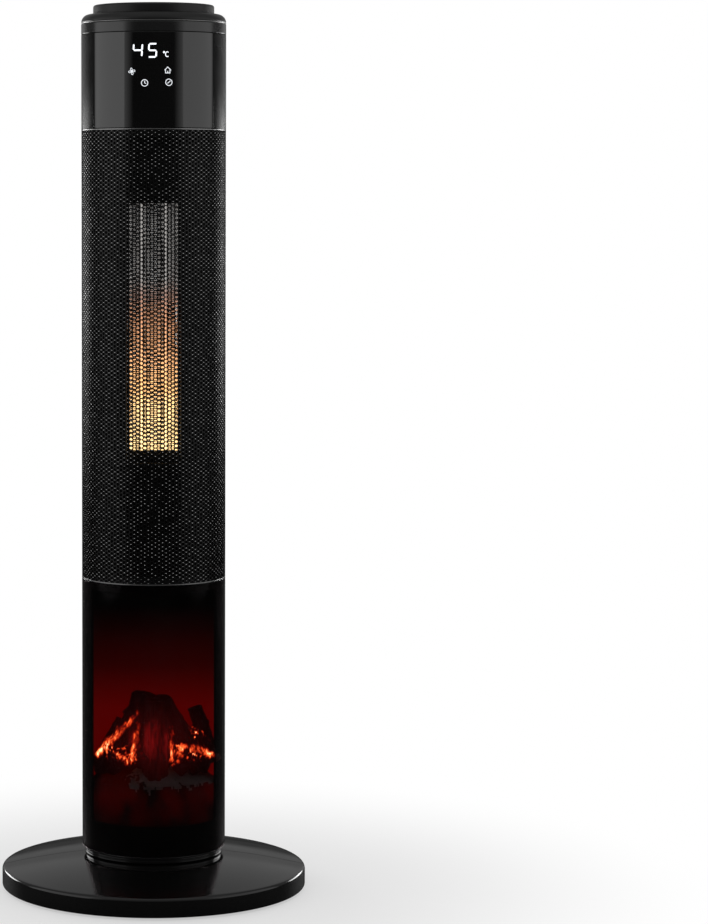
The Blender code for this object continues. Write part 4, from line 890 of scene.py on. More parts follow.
# The steel strips that hold the fins, with a dimmer painted glow than the bars: orange at their foot
EDGE_PAINTED_GLOW: Stops = (
    (0.0, "#ffc080"),
    (0.2, "#f0b070"),
    (0.26, "#c89060"),
    (0.4, "#a87850"),
    (0.6, "#8a7060"),
    (0.7, "#8a8886"),
)
PAINTED_GLOW_STRIPS = HeightGlow(
    "steel strips with painted glow", "#8a8680", 0.45, 0.6, low=GLOW_FOOT, high=GLOW_HEAD, stops=EDGE_PAINTED_GLOW, strength=1.6
)
# Pale fired insulation, dull and slightly rough
CERAMIC = Finish("unglazed ceramic", "#cfc8bb", 0.7, texture=0.4 * MM, depth=0.01 * MM)

CARRIED: dict[str, Finish] = {
    "pedestal": INNER,
    "glide_ring": NYLON,
    "ring_gear": NYLON,
    "swing_pinion": NYLON,
    "swing_motor": STEEL,
    "tilt_switch": INNER,
    "firebox_tray": INNER,
    "middle_deck": INNER,
    "upper_deck": INNER,
    "led_board": BOARD,
    "spindle_motor": STEEL,
    "flicker_spindle": ALUMINIUM,
    "thermal_cutout": CERAMIC,
    "blower_scroll": GALVANISED,
    "blower_tongue": GALVANISED,
    "blower_motor": STEEL,
    "bearing_bottom": BRONZE,
    "bearing_top": BRONZE,
    "rotor_shaft": STEEL,
    "display_board": BOARD,
    "digit_display": DIGITS,
    "control_board": BOARD,
}


def dress_carried() -> None:
    """Gives every CAD node that stays its own finish."""
    for name, finish in CARRIED.items():
        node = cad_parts[name]
        material = finish.build()
        if not node.material_slots:
            node.data.materials.append(material)
        for place in node.material_slots:
            place.material = material
        log.info("%s carried over in %s", name, finish.name)


def keep(piece: Piece, finish: Finish | None, slot: str, *stands_for: str, body: Body = Body.COLUMN) -> Piece:
    """Gives a finished piece its material and body, and hides the CAD nodes that it stands for.

    Args:
        piece: The piece, in its place.
        finish: Its finish, or None where its faces have theirs.
        slot: The record's material slot. Not used.
        *stands_for: The CAD nodes that it replaces.
        body: The body that it rides on.

    Returns:
        The piece.
    """
    if finish:
        piece.data.materials.clear()
        piece.data.materials.append(finish.build())
    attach(piece, body.value)
    if stands_for:
        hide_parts(*stands_for)
    log.info("%s: %d faces on %s", piece.name, len(piece.data.polygons), body.value)
    return piece


# Base


@dataclass
class Base:
    """The round glossy base with its seam, feet, screws and cord outlet.

    Attributes:
        radius: Its outer radius.
        foot: The height of its underside.
        mouth_radius: The radius of the hole that the column's neck stands in.
        mouth: The height of the dome at that hole.
        drop: How far the dome falls.
        fallen: The radius where it has fallen that far.
        brink: The radius where it goes over into the rim.
        vault: The radius where the roof of the hollow goes over into the rim.
        opening: The radius of the opening in the underside.
        wall: The plastic's thickness.
        seam: Half the gap between its two halves.
    """

    radius: float = 0.170
    foot: float = 0.0025
    mouth_radius: float = 0.071
    mouth: float = 0.040
    drop: float = 0.016
    fallen: float = 0.1675
    brink: float = 0.164
    vault: float = 0.160
    opening: float = 0.040
    wall: float = 0.003
    seam: float = 0.00015

    def dome(self, radius: float) -> float:
        """The height of the domed top at a radius."""
        out = (radius**2 - self.mouth_radius**2) / (self.fallen**2 - self.mouth_radius**2)
        return self.mouth - self.drop * out

    def section(self) -> list[Point]:
        """The hollow section of a half, with rounded rim and lip."""
        inner, floor = self.radius - self.wall, self.foot + self.wall
        top = [self.brink + (self.mouth_radius - self.brink) * step / 14 for step in range(1, 14)]
        under = [self.mouth_radius + (self.vault - self.mouth_radius) * step / 6 for step in range(7)]
        corners = [(self.opening, self.foot, 0.0), (self.radius, self.foot, 0.0025)]
        corners += [(self.radius, self.dome(0.1695), 0.0042), (self.brink, self.dome(self.brink), 0.0)]
        corners += [(r, self.dome(r), 0.0) for r in top]
        corners += [(self.mouth_radius, self.mouth, 0.0009)]
        corners += [(r, self.dome(r) - self.wall, 0.0) for r in under]
        corners += [
            (inner, self.dome(inner) - 0.0035, 0.002), (inner, floor, 0.001), (self.opening, floor, 0.0)
        ]
        return fillet(corners, 5)

    def build(self) -> None:
        """Makes the halves, feet, screws and outlet."""
        gland_low, gland_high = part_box("cord_gland")
        gland = (gland_low + gland_high) / 2
        for name, first, side in (("base_front_half", -90.0, -1), ("base_rear_half", 90.0, 1)):
            half = round_edges(turned(name, self.section(), 256, first, first + 180.0), 0.0006)
            half.data.transform(Matrix.Translation((0, side * self.seam, 0)))
            if side > 0:
                self.bore(half, gland)
            keep(half, PIANO, "base_plastic", name, body=Body.BASE)
        self.feet()
        self.gland(gland)

    def bore(self, half: Piece, gland: Vector) -> None:
        """Cuts the hole of the cord outlet into the rear half."""
        hole = turned("tool", [(0.0, 0.155), (0.00535, 0.155), (0.00535, 0.180), (0.0, 0.180)], 32)
        hole.data.transform(Matrix.Translation((gland.x, 0, gland.z)) @ Matrix.Rotation(-math.pi / 2, 4, "X"))
        cut(half, hole)

    def feet(self) -> None:
        """Four rubber feet with a rounded tread, and four countersunk screws under the base."""
        for number in range(1, 5):
            low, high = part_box(f"foot_{number}")
            middle, size = (low + high) / 2, high - low
            r = size.x / 2
            outline = [
                (0, low.z, 0), (r - 0.0012, low.z, 0.0008), (r, low.z + 0.0009, 0.0006), (r, high.z, 0)
            ]
            foot = turned(f"foot_{number}_tread", fillet([*outline, (0, high.z, 0)], 3), 40)
            foot.data.transform(Matrix.Translation((middle.x, middle.y, 0)))
            keep(foot, RUBBER, "foot_rubber", f"foot_{number}", body=Body.BASE)
            low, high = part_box(f"base_screw_{number}")
            head = screw(f"base_screw_{number}_head", (high.x - low.x) / 2, low.z, high.z)
            head.data.transform(Matrix.Translation(((low.x + high.x) / 2, (low.y + high.y) / 2, 0)))
            keep(head, ZINC, "screw_steel", f"base_screw_{number}", body=Body.BASE)

    def gland(self, middle: Vector) -> None:
        """The outlet's flanged sleeve, with an open bore."""
        low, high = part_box("cord_gland")
        bore, wall, flange = 0.0032, 0.005, (high.z - low.z) / 2
        corners = [(bore, low.y, 0.0003), (flange, low.y, 0.0003), (flange, low.y + 0.0015, 0.0003)]
        corners += [(wall, low.y + 0.0016, 0.0), (wall, high.y, 0.0005), (bore, high.y, 0.0009)]
        sleeve = turned("cord_gland_sleeve", fillet(corners, 4), 40)
        sleeve.data.transform(
            Matrix.Translation((middle.x, 0, middle.z)) @ Matrix.Rotation(-math.pi / 2, 4, "X")
        )
        keep(sleeve, RUBBER, "inner_plastic", "cord_gland", body=Body.BASE)


def screw(name: str, radius: float, low: float, high: float, face_up: bool = False) -> Piece:
    """A pan-head screw with a cross recess, upright on the axis.

    Args:
        name: The object's name.
        radius: The head's radius.
        low: The height of its lower end.
        high: The height of its upper end.
        face_up: Whether the head is at the upper end.

    Returns:
        The screw.
    """
    head, shank = min(0.0022, (high - low) * 0.6), radius * 0.5
    side = -1 if face_up else 1
    face, tail = (high, low) if face_up else (low, high)
    corners = [(0, face, 0), (radius * 0.8, face, 0), (radius, face + side * 0.0007, 0.0004)]
    corners += [(radius, face + side * head, 0.0002), (shank, face + side * head, 0)]
    corners += [(shank, tail - side * 0.0006, 0), (shank * 0.6, tail, 0), (0, tail, 0)]
    body = turned(name, fillet(corners, 2), 20)
    cross = bmesh.new()
    for size in ((radius * 1.1, radius * 0.26, 0.002), (radius * 0.26, radius * 1.1, 0.00201)):
        cube(cross, size, (0, 0, face))
    tool = bpy.data.meshes.new("tool")
    cross.to_mesh(tool)
    cross.free()
    return cut(body, put("tool", tool), crossed=True)


def on_column(radius: float, angle: float, height: float) -> Vector:
    """The point at a radius, an angle from the front and a height."""
    turn = math.radians(angle)
    return Vector((radius * math.sin(turn), -radius * math.cos(turn), height))


def facing(angle: float) -> Matrix:
    """The turn that points Z straight out of the column at an angle."""
    return on_column(1.0, angle, 0.0).to_track_quat("Z", "Y").to_matrix().to_4x4()


# Back of the column


@dataclass
class RearShell:
    """The satin back of the column, with its inlet grille, grip and plate.

    Attributes:
        radius: The column's outer radius.
        wall: The shell's wall.
        low: The height of its lower edge.
        high: The height of its upper edge.
        seam: The angle left free at each side.
        screw_angle: How far the screw holes are from the middle of the back.
        screw_heights: The heights of the screw holes.
        hole: The radius of a screw hole.
        vent: The lowest and highest edge of the inlet.
        vent_angle: Half the inlet's width.
        rows: The inlet's rows of slots.
        grip: The lowest and highest edge of the grip.
        grip_angle: Half the grip's width.
    """

    radius: float = 0.080
    wall: float = 0.0025
    low: float = 0.048
    high: float = 0.9507
    seam: float = 0.22
    screw_angle: float = 63.3
    screw_heights: tuple[float, ...] = (0.217, 0.350, 0.501, 0.651, 0.802, 0.942)
    hole: float = 0.0036
    vent: Point = (0.4828, 0.7734)
    vent_angle: float = 45.0
    rows: int = 34
    grip: Point = (0.8516, 0.9016)
    grip_angle: float = 43.5

    def arc(self, angle: float) -> float:
        """The length along the outer face from the front."""
        return self.radius * math.radians(angle)

    def screw_places(self) -> list[tuple[float, float]]:
        """The angle and height of each screw hole."""
        sides = (REAR - self.screw_angle, REAR + self.screw_angle)
        return [(angle, height) for angle in sides for height in self.screw_heights]

    def bore(self, angle: float, height: float, sides: int = 28) -> list[Point]:
        """The flat outline of a screw hole. It is long along the arc, being bored from straight behind.

        Args:
            angle: The angle of its middle from the front.
            height: The height of its middle.
            sides: How many points the outline has.

        Returns:
            The outline as arc length and height.
        """
        points = []
        for number in range(sides):
            turn = math.tau * number / sides
            across = math.sin(math.radians(angle)) - self.hole / self.radius * math.cos(turn)
            points.append((self.radius * (math.pi - math.asin(across)), height + self.hole * math.sin(turn)))
        return points

    def window(self, half_angle: float, span: Point, radius: float) -> list[Point]:
        """The flat outline of an opening that is centred on the back."""
        middle = (self.arc(REAR), (span[0] + span[1]) / 2)
        return oblong(2 * self.arc(half_angle), span[1] - span[0], radius, middle, 4)

    def build(self) -> None:
        """Makes the shell and all that sits in it."""
        through = 2 * self.wall
        switch_low, switch_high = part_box("switch_body")
        switch = ((switch_low.z + switch_high.z) / 2, (switch_high.z - switch_low.z) / 2)
        openings = [
            (self.window(self.vent_angle, self.vent, 0.003), through),
            (self.window(self.grip_angle, self.grip, 0.0035), through),
            (oblong(0.0192, 2 * switch[1] - 0.0028, 0.0008, (self.arc(REAR), switch[0]), 3), through),
        ]
        openings += [(self.bore(angle, height), through) for angle, height in self.screw_places()]
        sheet = Sheet(
            "rear_shell_skin",
            90.0 + self.seam,
            270.0 - self.seam,
            self.low,
            self.high,
            self.radius,
            self.wall,
            openings,
        )
        keep(sheet.build(), SHELL, "shell_plastic", "rear_shell")
        self.screws()
        self.inlet()
        self.grip_cup()
        self.plate()

    def outward(self, tree: Tree) -> Any:
        """The rotation that points an instance's Z out of the column, from its own place."""
        way = tree.add("ShaderNodeVectorMath", [tree.add("InputPosition"), (1, 1, 0)], operation="MULTIPLY")
        return tree.add("FunctionNodeAlignRotationToVector", {"Vector": way}, axis="Z")

    def screws(self) -> None:
        """The screws deep in the holes of the shell, each in its dark sleeve."""
        depth = self.radius - 0.011
        places = [on_column(depth, angle, height) for angle, height in self.screw_places()]
        tree = Tree("shell screws", {"Head Size": 1.0})
        head = screw("screw_pattern", 0.0031, -0.0042, 0.0, face_up=True)
        shape = tree.add("ObjectInfo", [head], out="Geometry")
        inputs = {"Points": tree.given["Geometry"], "Instance": shape, "Rotation": self.outward(tree)}
        inputs["Scale"] = tree.given["Head Size"]
        made = tree.grow("shell_screws", tree.add("InstanceOnPoints", inputs), BLACK_STEEL, places)
        bpy.data.objects.remove(head)
        keep(made, BLACK_STEEL, "screw_steel")
        self.sleeves()

    def sleeves(self) -> None:
        """The oval cups moulded behind the screw holes, which keep them dark and hold the screws."""
        bore, wall, top = self.hole + 0.0002, 0.0012, self.radius - self.wall - 0.0002
        sizes = {
            "Bore": bore,
            "Wall": wall,
            "Depth": 0.0125,
            "Stretch": 1 / math.cos(math.radians(self.screw_angle + 1)),
        }
        tree = Tree("screw sleeves", sizes)
        given = tree.given
        oval = (1.0, given["Stretch"], 1.0)
        circle = tree.add("CurvePrimitiveCircle", {"Resolution": 28, "Radius": given["Bore"]}, out="Curve")
        mouth = tree.add("Transform", {"Geometry": circle, "Scale": oval})
        high = (given["Wall"], 0.0, 0.0)
        deep = (0.0, given["Depth"], 0.0)
        corner = tree.add("ShaderNodeVectorMath", [high, deep], operation="ADD")
        inputs = {"Point 1": (0, 0, 0), "Point 2": high, "Point 3": corner, "Point 4": deep}
        wall_shape = tree.add("CurvePrimitiveQuadrilateral", inputs, out="Curve", mode="POINTS")
        tube = tree.add("CurveToMesh", {"Curve": mouth, "Profile Curve": wall_shape})
        inputs = {"Vertices": 28, "Radius": tree.add("ADD", [given["Bore"], wall / 2]), "Depth": wall}
        disc = tree.add("MeshCylinder", inputs, out="Mesh")
        down = (0.0, 0.0, tree.add("SUBTRACT", [wall, given["Depth"]]))
        cup = tree.add(
            "JoinGeometry", [tree.add("Transform", {"Geometry": disc, "Translation": down, "Scale": oval})]
        )
        tree.nodes.links.new(tube, cup.node.inputs["Geometry"])
        upright = {"Rotation": self.outward(tree), "Vector": (0, 0, 1)}
        turn = tree.add("FunctionNodeAlignRotationToVector", upright, axis="X", pivot_axis="Z")
        inputs = {"Points": given["Geometry"], "Instance": cup, "Rotation": turn}
        places = [on_column(top, angle, height) for angle, height in self.screw_places()]
        made = tree.grow("screw_sleeves", tree.add("InstanceOnPoints", inputs), INNER, places)
        keep(outwards(made), INNER, "inner_plastic")

    def inlet(self) -> None:
        """The air inlet: a frame, 33 ribs between its 34 rows of slots, and three upright bars."""
        low, high = self.vent
        free, border = 0.3 * MM, 3 * MM
        width, height = 2 * self.arc(self.vent_angle) - 2 * free, high - low - 2 * free
        outer = self.radius - 0.0002
        middle = (outer * math.pi, (low + high) / 2)
        hole = oblong(width - 2 * border, height - 2 * border, 0.0015, middle, 3)
        half = math.degrees(width / 2 / self.radius)
        span = (low + free, high - free)
        sides, openings = (REAR - half, REAR + half), [(hole, THROUGH)]
        rim = Sheet("inlet_frame", *sides, *span, outer, self.wall + 0.0006, openings, corner=0.003)
        keep(rim.build(), SHELL, "shell_plastic", "rear_grille")
        pitch = (height - 2 * border) / self.rows
        inner = math.radians(half) - border / self.radius
        sizes = {"Radius": outer - 0.0004, "Half Angle": inner + 0.02, "Pitch": pitch, "Rows": self.rows - 1}
        tree = Tree(
            "inlet ribs",
            sizes | {"Rib Height": 0.0040, "Rib Depth": 0.0030, "Foot": span[0] + border + pitch},
        )
        given = tree.given
        start = tree.add("SUBTRACT", [math.pi / 2, given["Half Angle"]])
        sweep = tree.add("MULTIPLY", [given["Half Angle"], 2.0])
        inputs = {"Resolution": 61, "Radius": given["Radius"], "Start Angle": start, "Sweep Angle": sweep}
        path = tree.add("CurveArc", inputs, out="Curve")
        shape = {"Width": given["Rib Depth"], "Height": given["Rib Height"]}
        section = tree.add("CurvePrimitiveQuadrilateral", shape, out="Curve")
        soft = tree.add("FilletCurve", {"Curve": section, "Radius": 0.0006, "Count": 2}, mode="POLY")
        rib = tree.add("CurveToMesh", {"Curve": path, "Profile Curve": soft, "Fill Caps": True})
        foot = (0.0, 0.0, given["Foot"])
        step = (0.0, 0.0, given["Pitch"])
        line = tree.add("MeshLine", {"Count": given["Rows"], "Start Location": foot, "Offset": step})
        ribs = tree.add("InstanceOnPoints", {"Points": line, "Instance": rib})
        made = tree.grow("inlet_ribs", ribs, SHELL)
        keep(outwards(made), SHELL, "shell_plastic")
        for number, angle in enumerate((-half / 2, 0.0, half / 2)):
            turn = math.degrees(0.0018 / self.radius)
            sides = (REAR + angle - turn, REAR + angle + turn)
            deep = 0.0034 if angle else 0.024
            bar = Sheet(
                f"inlet_bar_{number + 1}", *sides, span[0] + 0.002, span[1] - 0.002, outer - 0.0001, deep
            )
            keep(bar.build(), SHELL, "shell_plastic")

    def grip_cup(self) -> None:
        """The carrying grip: a thin raised rim and a cup whose back is a flatter curve."""
        low, high = self.grip
        lip, mouth, back, wall, free = 0.0022, 0.0803, 0.050, 0.002, 0.0003
        rim_width = 2 * self.arc(self.grip_angle) + 0.005
        middle = (self.arc(REAR), (low + high) / 2)
        hole = oblong(rim_width - 0.0068, high - low - lip, 0.003, middle, 4)
        half = math.degrees(rim_width / 2 / self.radius)
        span = (low - lip, high + lip)
        sides, openings = (REAR - half, REAR + half), [(hole, THROUGH)]
        rim = Sheet("grip_rim", *sides, *span, 0.0811, 0.0009, openings, edge=0.0003, corner=0.0045)
        keep(rim.build(), SHELL, "shell_plastic")
        low, high = low + free, high - free
        edge = self.grip_angle - math.degrees(0.0004 / self.radius)
        outline = [(mouth, low, 0.0003), (mouth, low + wall, 0.001), (back, low + wall, 0.006)]
        outline += [(back, high - wall, 0.006), (mouth, high - wall, 0.001), (mouth, high, 0.0003)]
        outline += [(back - wall, high, 0.004), (back - wall, low, 0.004)]
        cup = turned("grip_cup", fillet(outline, 5), 240, REAR - edge, REAR + edge)
        foot, head, behind = low + 0.0002, high - 0.0002, back - 0.001
        section = [(behind, foot), (mouth, foot), (mouth, head), (behind, head)]
        walls = []
        for side in (-1, 1):
            near, far = REAR + side * edge, REAR + side * (edge - math.degrees(wall / self.radius))
            walls.append(turned(f"wall{side}", section, 240, *sorted((near, far))))
        keep(together("grip_cup_shell", cup, *walls), INNER, "inner_plastic", "handle_cup")

    def plate(self) -> None:
        """The blank silver plate, with softly rounded corners."""
        low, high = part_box("rating_plate")
        half = math.degrees(0.0285 / self.radius)
        sheet = Sheet(
            "blank_plate", REAR - half, REAR + half, low.z, high.z, 0.0801, 0.0004, edge=0.0001, corner=0.0012
        )
        keep(sheet.build(), FOIL, "label_foil", "rating_plate")


@dataclass
class MainsSwitch:
    """The mains switch in the back: a framed body and a red rocker with a dished face.

    Attributes:
        middle: The height of its middle.
        foot: How far from the axis its body starts.
        bezel: How far from the axis its flange starts.
        face: How far from the axis its flange ends.
        mouth: The width and height of the hole for the rocker.
        pivot: How far from the axis the rocker's pivot is.
        lean: How far the rocker leans at rest, in degrees.
        half: Half the rocker's height.
        width: Its width.
        thick: Its thickness.
        crown: How far the middle of its face is from the pivot.
    """

    middle: float = 0.2688
    foot: float = 0.058
    bezel: float = 0.0803
    face: float = 0.082
    mouth: Point = (0.0138, 0.0328)
    pivot: float = 0.076
    lean: float = 10.0
    half: float = 0.015
    width: float = 0.0132
    thick: float = 0.007
    crown: float = 0.0034

    def build(self) -> None:
        """Makes the framed body and the rocker."""
        foot, bezel, face = self.foot, self.bezel, self.face
        body = block("body", (0.018, face - foot, 0.0364), (0, (foot + face) / 2, self.middle), 0.0003, 1)
        centre = (0, (face + bezel) / 2, self.middle)
        flange = block("flange", (0.0214, face - bezel, 0.0398), centre, 0.0007, 3)
        made = together("switch_frame", body, flange)
        tool = block("tool", (self.mouth[0], 0.030, self.mouth[1]), (0, face, self.middle), 0.0004, 1)
        made = round_edges(cut(made, tool, crossed=True), 0.00025, 1)
        keep(made, INNER, "inner_plastic", "switch_body")
        self.rocker()

    def rocker(self) -> None:
        """The rocker, from its side outline round the pivot."""
        half, crown, thick = self.half, self.crown, self.thick
        high = crown + half * math.tan(math.radians(self.lean))
        places = [half * (1 - step / 6) for step in range(1, 12)]
        dish = [(z, crown + (high - crown) * (abs(z) / half) ** 1.25, 0.0) for z in places]
        corners = [(-half, high, 0.0006), (-half, high - thick / 2, 0.001), (-half / 3, crown - thick, 0.001)]
        corners += [(half / 3, crown - thick, 0.001), (half, high - thick / 2, 0.001), (half, high, 0.0006)]
        outline = fillet([*corners, *dish], 3)
        source = bmesh.new()
        ends = (-self.width / 2, self.width / 2)
        sides = [[source.verts.new((x, y, z)) for z, y in outline] for x in ends]
        source.faces.new(sides[0])
        source.faces.new(reversed(sides[1]))
        for k in range(len(outline)):
            m = (k + 1) % len(outline)
            source.faces.new((sides[0][k], sides[1][k], sides[1][m], sides[0][m]))
        rocker = round_edges(as_object("rocker_cap", source), 0.0005, 3)
        place = Matrix.Translation((0, self.pivot, self.middle))
        rocker.data.transform(place @ Matrix.Rotation(math.radians(-self.lean), 4, "X"))
        keep(rocker, ROCKER_RED, "red_rocker", "rocker", body=Body.ROCKER)


def outwards(piece: Piece) -> Piece:
    """Turns all faces of closed shapes outwards."""
    source = bmesh.new()
    source.from_mesh(piece.data)
    bmesh.ops.recalc_face_normals(source, faces=source.faces)
    source.to_mesh(piece.data)
    source.free()
    return piece


# Front of the column


@dataclass
class FrontCovers:
    """The carrier with its cheeks, the window, the perforated grille and the glass panel.

    Attributes:
        radius: The column's outer radius.
        seam: The angle left free at each side.
        window: The window's lowest and highest edge.
        grille: The grille's lowest and highest edge.
        panel: The panel's lowest and highest edge.
        panel_angle: Half the panel's width.
        across: The spacing of the grille's columns of holes.
        upwards: The spacing of its holes in a column.
        flat: The holes' size across their flats.
    """

    radius: float = 0.080
    seam: float = 0.22
    window: Point = (0.048, 0.3487)
    grille: Point = (0.349, 0.8467)
    panel: Point = (0.8473, 0.9507)
    panel_angle: float = 55.0
    across: float = 3.9 * MM
    upwards: float = 4.503 * MM
    flat: float = 3.25 * MM

    def build(self) -> None:
        """Makes the carrier, cheeks, window, trims, grille and panel."""
        edge = 90.0 - self.seam
        outer, wall = 0.0772, 0.0025
        middle = [(low + high) / 2 for low, high in (self.window, self.grille, self.panel)]
        holes = [
            oblong(2 * outer * math.radians(62), 0.258, 0.004, (0, middle[0] + 0.0125), 4),
            oblong(2 * outer * math.radians(72), 0.480, 0.004, (0, middle[1]), 4),
            oblong(2 * outer * math.radians(20), 0.050, 0.003, (0, 0.917), 4),
        ]
        openings = [(hole, THROUGH) for hole in holes]
        frame_sheet = Sheet(
            "front_carrier", -93.0, 93.0, self.window[0], self.panel[1], outer, wall, openings
        )
        keep(frame_sheet.build(), INNER, "shell_plastic", "front_frame")
        for side, name in ((-1, "cheek_left"), (1, "cheek_right")):
            first, last = sorted((side * (self.panel_angle + 0.25), side * edge))
            cheek = Sheet(name, first, last, *self.panel, self.radius, 0.0029, edge=0.0005, corner=0.0006)
            keep(cheek.build(), LACQUER, "shell_plastic")
        pane = Sheet(
            "window_pane", -edge, edge, *self.window, self.radius, 0.0025, edge=0.0004, corner=0.0006
        )
        keep(pane.build(), SMOKE, "smoked_acrylic", "flame_window")
        panel = Sheet(
            "panel_glass",
            -self.panel_angle,
            self.panel_angle,
            *self.panel,
            self.radius,
            0.0025,
            edge=0.0005,
            corner=0.0008,
        )
        keep(panel.build(), GLASS_BLACK, "panel_acrylic", "control_panel")
        self.trims(edge)
        self.perforations(edge)

    def trims(self, edge: float) -> None:
        """The thin steel strips at the grille's head and foot, and its two upright edge strips."""
        low, high = self.grille
        for name, foot, top in (
            ("grille_strip_foot", low, low + 0.0012), ("grille_strip_head", high - 0.0012, high)
        ):
            strip = Sheet(name, -edge, edge, foot, top, 0.0793, 0.0020, edge=0.0004, corner=0.0004)
            keep(strip.build(), TRIM, "perforated_steel")
        for side, name in ((-1, "grille_edge_left"), (1, "grille_edge_right")):
            first, last = sorted((side * (edge - 2.6), side * edge))
            strip = Sheet(
                name, first, last, low + 0.0013, high - 0.0013, 0.0792, 0.0018, edge=0.0004, corner=0.0004
            )
            keep(strip.build(), MESH_STEEL, "perforated_steel")

    def cell(self) -> Piece:
        """One flat hexagon of the grille with its hole, open where it meets its neighbours."""
        source = bmesh.new()
        reach, hole, thick = self.upwards / 2, self.flat / 2, 1.0 * MM
        rings = []
        for apothem, depth in ((reach, 0.0), (hole, 0.0), (hole * 0.97, thick), (reach, thick)):
            size = apothem / math.cos(math.pi / 6)
            turns = [math.pi / 3 * k for k in range(6)]
            stretch = self.across / (self.upwards * math.cos(math.pi / 6))
            rings.append(
                [source.verts.new((size * math.cos(a) * stretch, depth, size * math.sin(a))) for a in turns]
            )
        for one, two in zip(rings, rings[1:]):
            skin(source, one, two)
        mesh = bpy.data.meshes.new("cell")
        source.to_mesh(mesh)
        source.free()
        return put("cell", mesh)

    def perforations(self, edge: float) -> None:
        """The grille's thousands of holes: staggered cells, merged and bent round the column."""
        low, high = self.grille
        outer = 0.0790
        pairs = int(2 * outer * math.radians(edge - 0.6) / (2 * self.across))
        rows = int((high - low - 0.0012) / self.upwards)
        foot = (low + high - (rows - 0.5) * self.upwards) / 2
        for part, (start, count) in enumerate(((0, rows // 2), (rows // 2, rows - rows // 2))):
            sizes: dict[str, float | int] = {"Across": self.across, "Upwards": self.upwards, "Radius": outer}
            sizes |= {"Pairs": pairs, "Rows": count, "Foot": foot + start * self.upwards}
            tree = Tree(f"grille holes {part + 1}", sizes)
            cell = self.cell()
            shape = tree.add("ObjectInfo", [cell], out="Geometry")
            flat = self.lattice(tree, shape)
            made = tree.grow(f"front_grille_holes_{part + 1}", flat, MESH_STEEL)
            bpy.data.objects.remove(cell)
            stands = ("front_grille",) if part == 0 else ()
            keep(made, MESH_STEEL, "perforated_steel", *stands)

    def lattice(self, tree: Tree, shape: Any) -> Any:
        """Sets the cells on staggered points, joins them and bends the sheet.

        Args:
            tree: The tree.
            shape: One cell.

        Returns:
            The bent sheet.
        """
        given = tree.given
        wide = tree.add("MULTIPLY", [given["Across"], 2.0])
        half = tree.add("MULTIPLY", [tree.add("SUBTRACT", [given["Pairs"], 1.0]), given["Across"]])
        sets = []
        for shift in (-0.5, 0.5):
            x = tree.add(
                "ADD", [tree.add("MULTIPLY", [half, -1.0]), tree.add("MULTIPLY", [given["Across"], shift])]
            )
            z = tree.add("ADD", [given["Foot"], tree.add("MULTIPLY", [given["Upwards"], shift / 2 + 0.25])])
            start = (x, 0.0, z)
            row = tree.add(
                "MeshLine", {"Count": given["Pairs"], "Start Location": start, "Offset": (wide, 0.0, 0.0)}
            )
            up = (0.0, 0.0, given["Upwards"])
            column = tree.add("MeshLine", {"Count": given["Rows"], "Start Location": (0, 0, 0), "Offset": up})
            cells = tree.add("InstanceOnPoints", {"Points": column, "Instance": shape})
            sets.append(tree.add("InstanceOnPoints", {"Points": row, "Instance": cells}))
        joined = tree.add("JoinGeometry")
        for one in sets:
            tree.nodes.links.new(one, joined.node.inputs[0])
        real = tree.add("RealizeInstances", [joined])
        sheet = tree.add("MergeByDistance", {"Geometry": real, "Distance": 0.00002})
        place = tree.add("InputPosition")
        split = tree.add("ShaderNodeSeparateXYZ", [place])
        turn = tree.add("DIVIDE", [split, given["Radius"]])
        out = tree.add("SUBTRACT", [given["Radius"], split.node.outputs["Y"]])
        x = tree.add("MULTIPLY", [out, tree.add("SINE", [turn])])
        y = tree.add("MULTIPLY", [tree.add("MULTIPLY", [out, -1.0]), tree.add("COSINE", [turn])])
        bent = (x, y, split.node.outputs["Z"])
        return tree.add("SetPosition", {"Geometry": sheet, "Position": bent})


# Lit signs on the glass


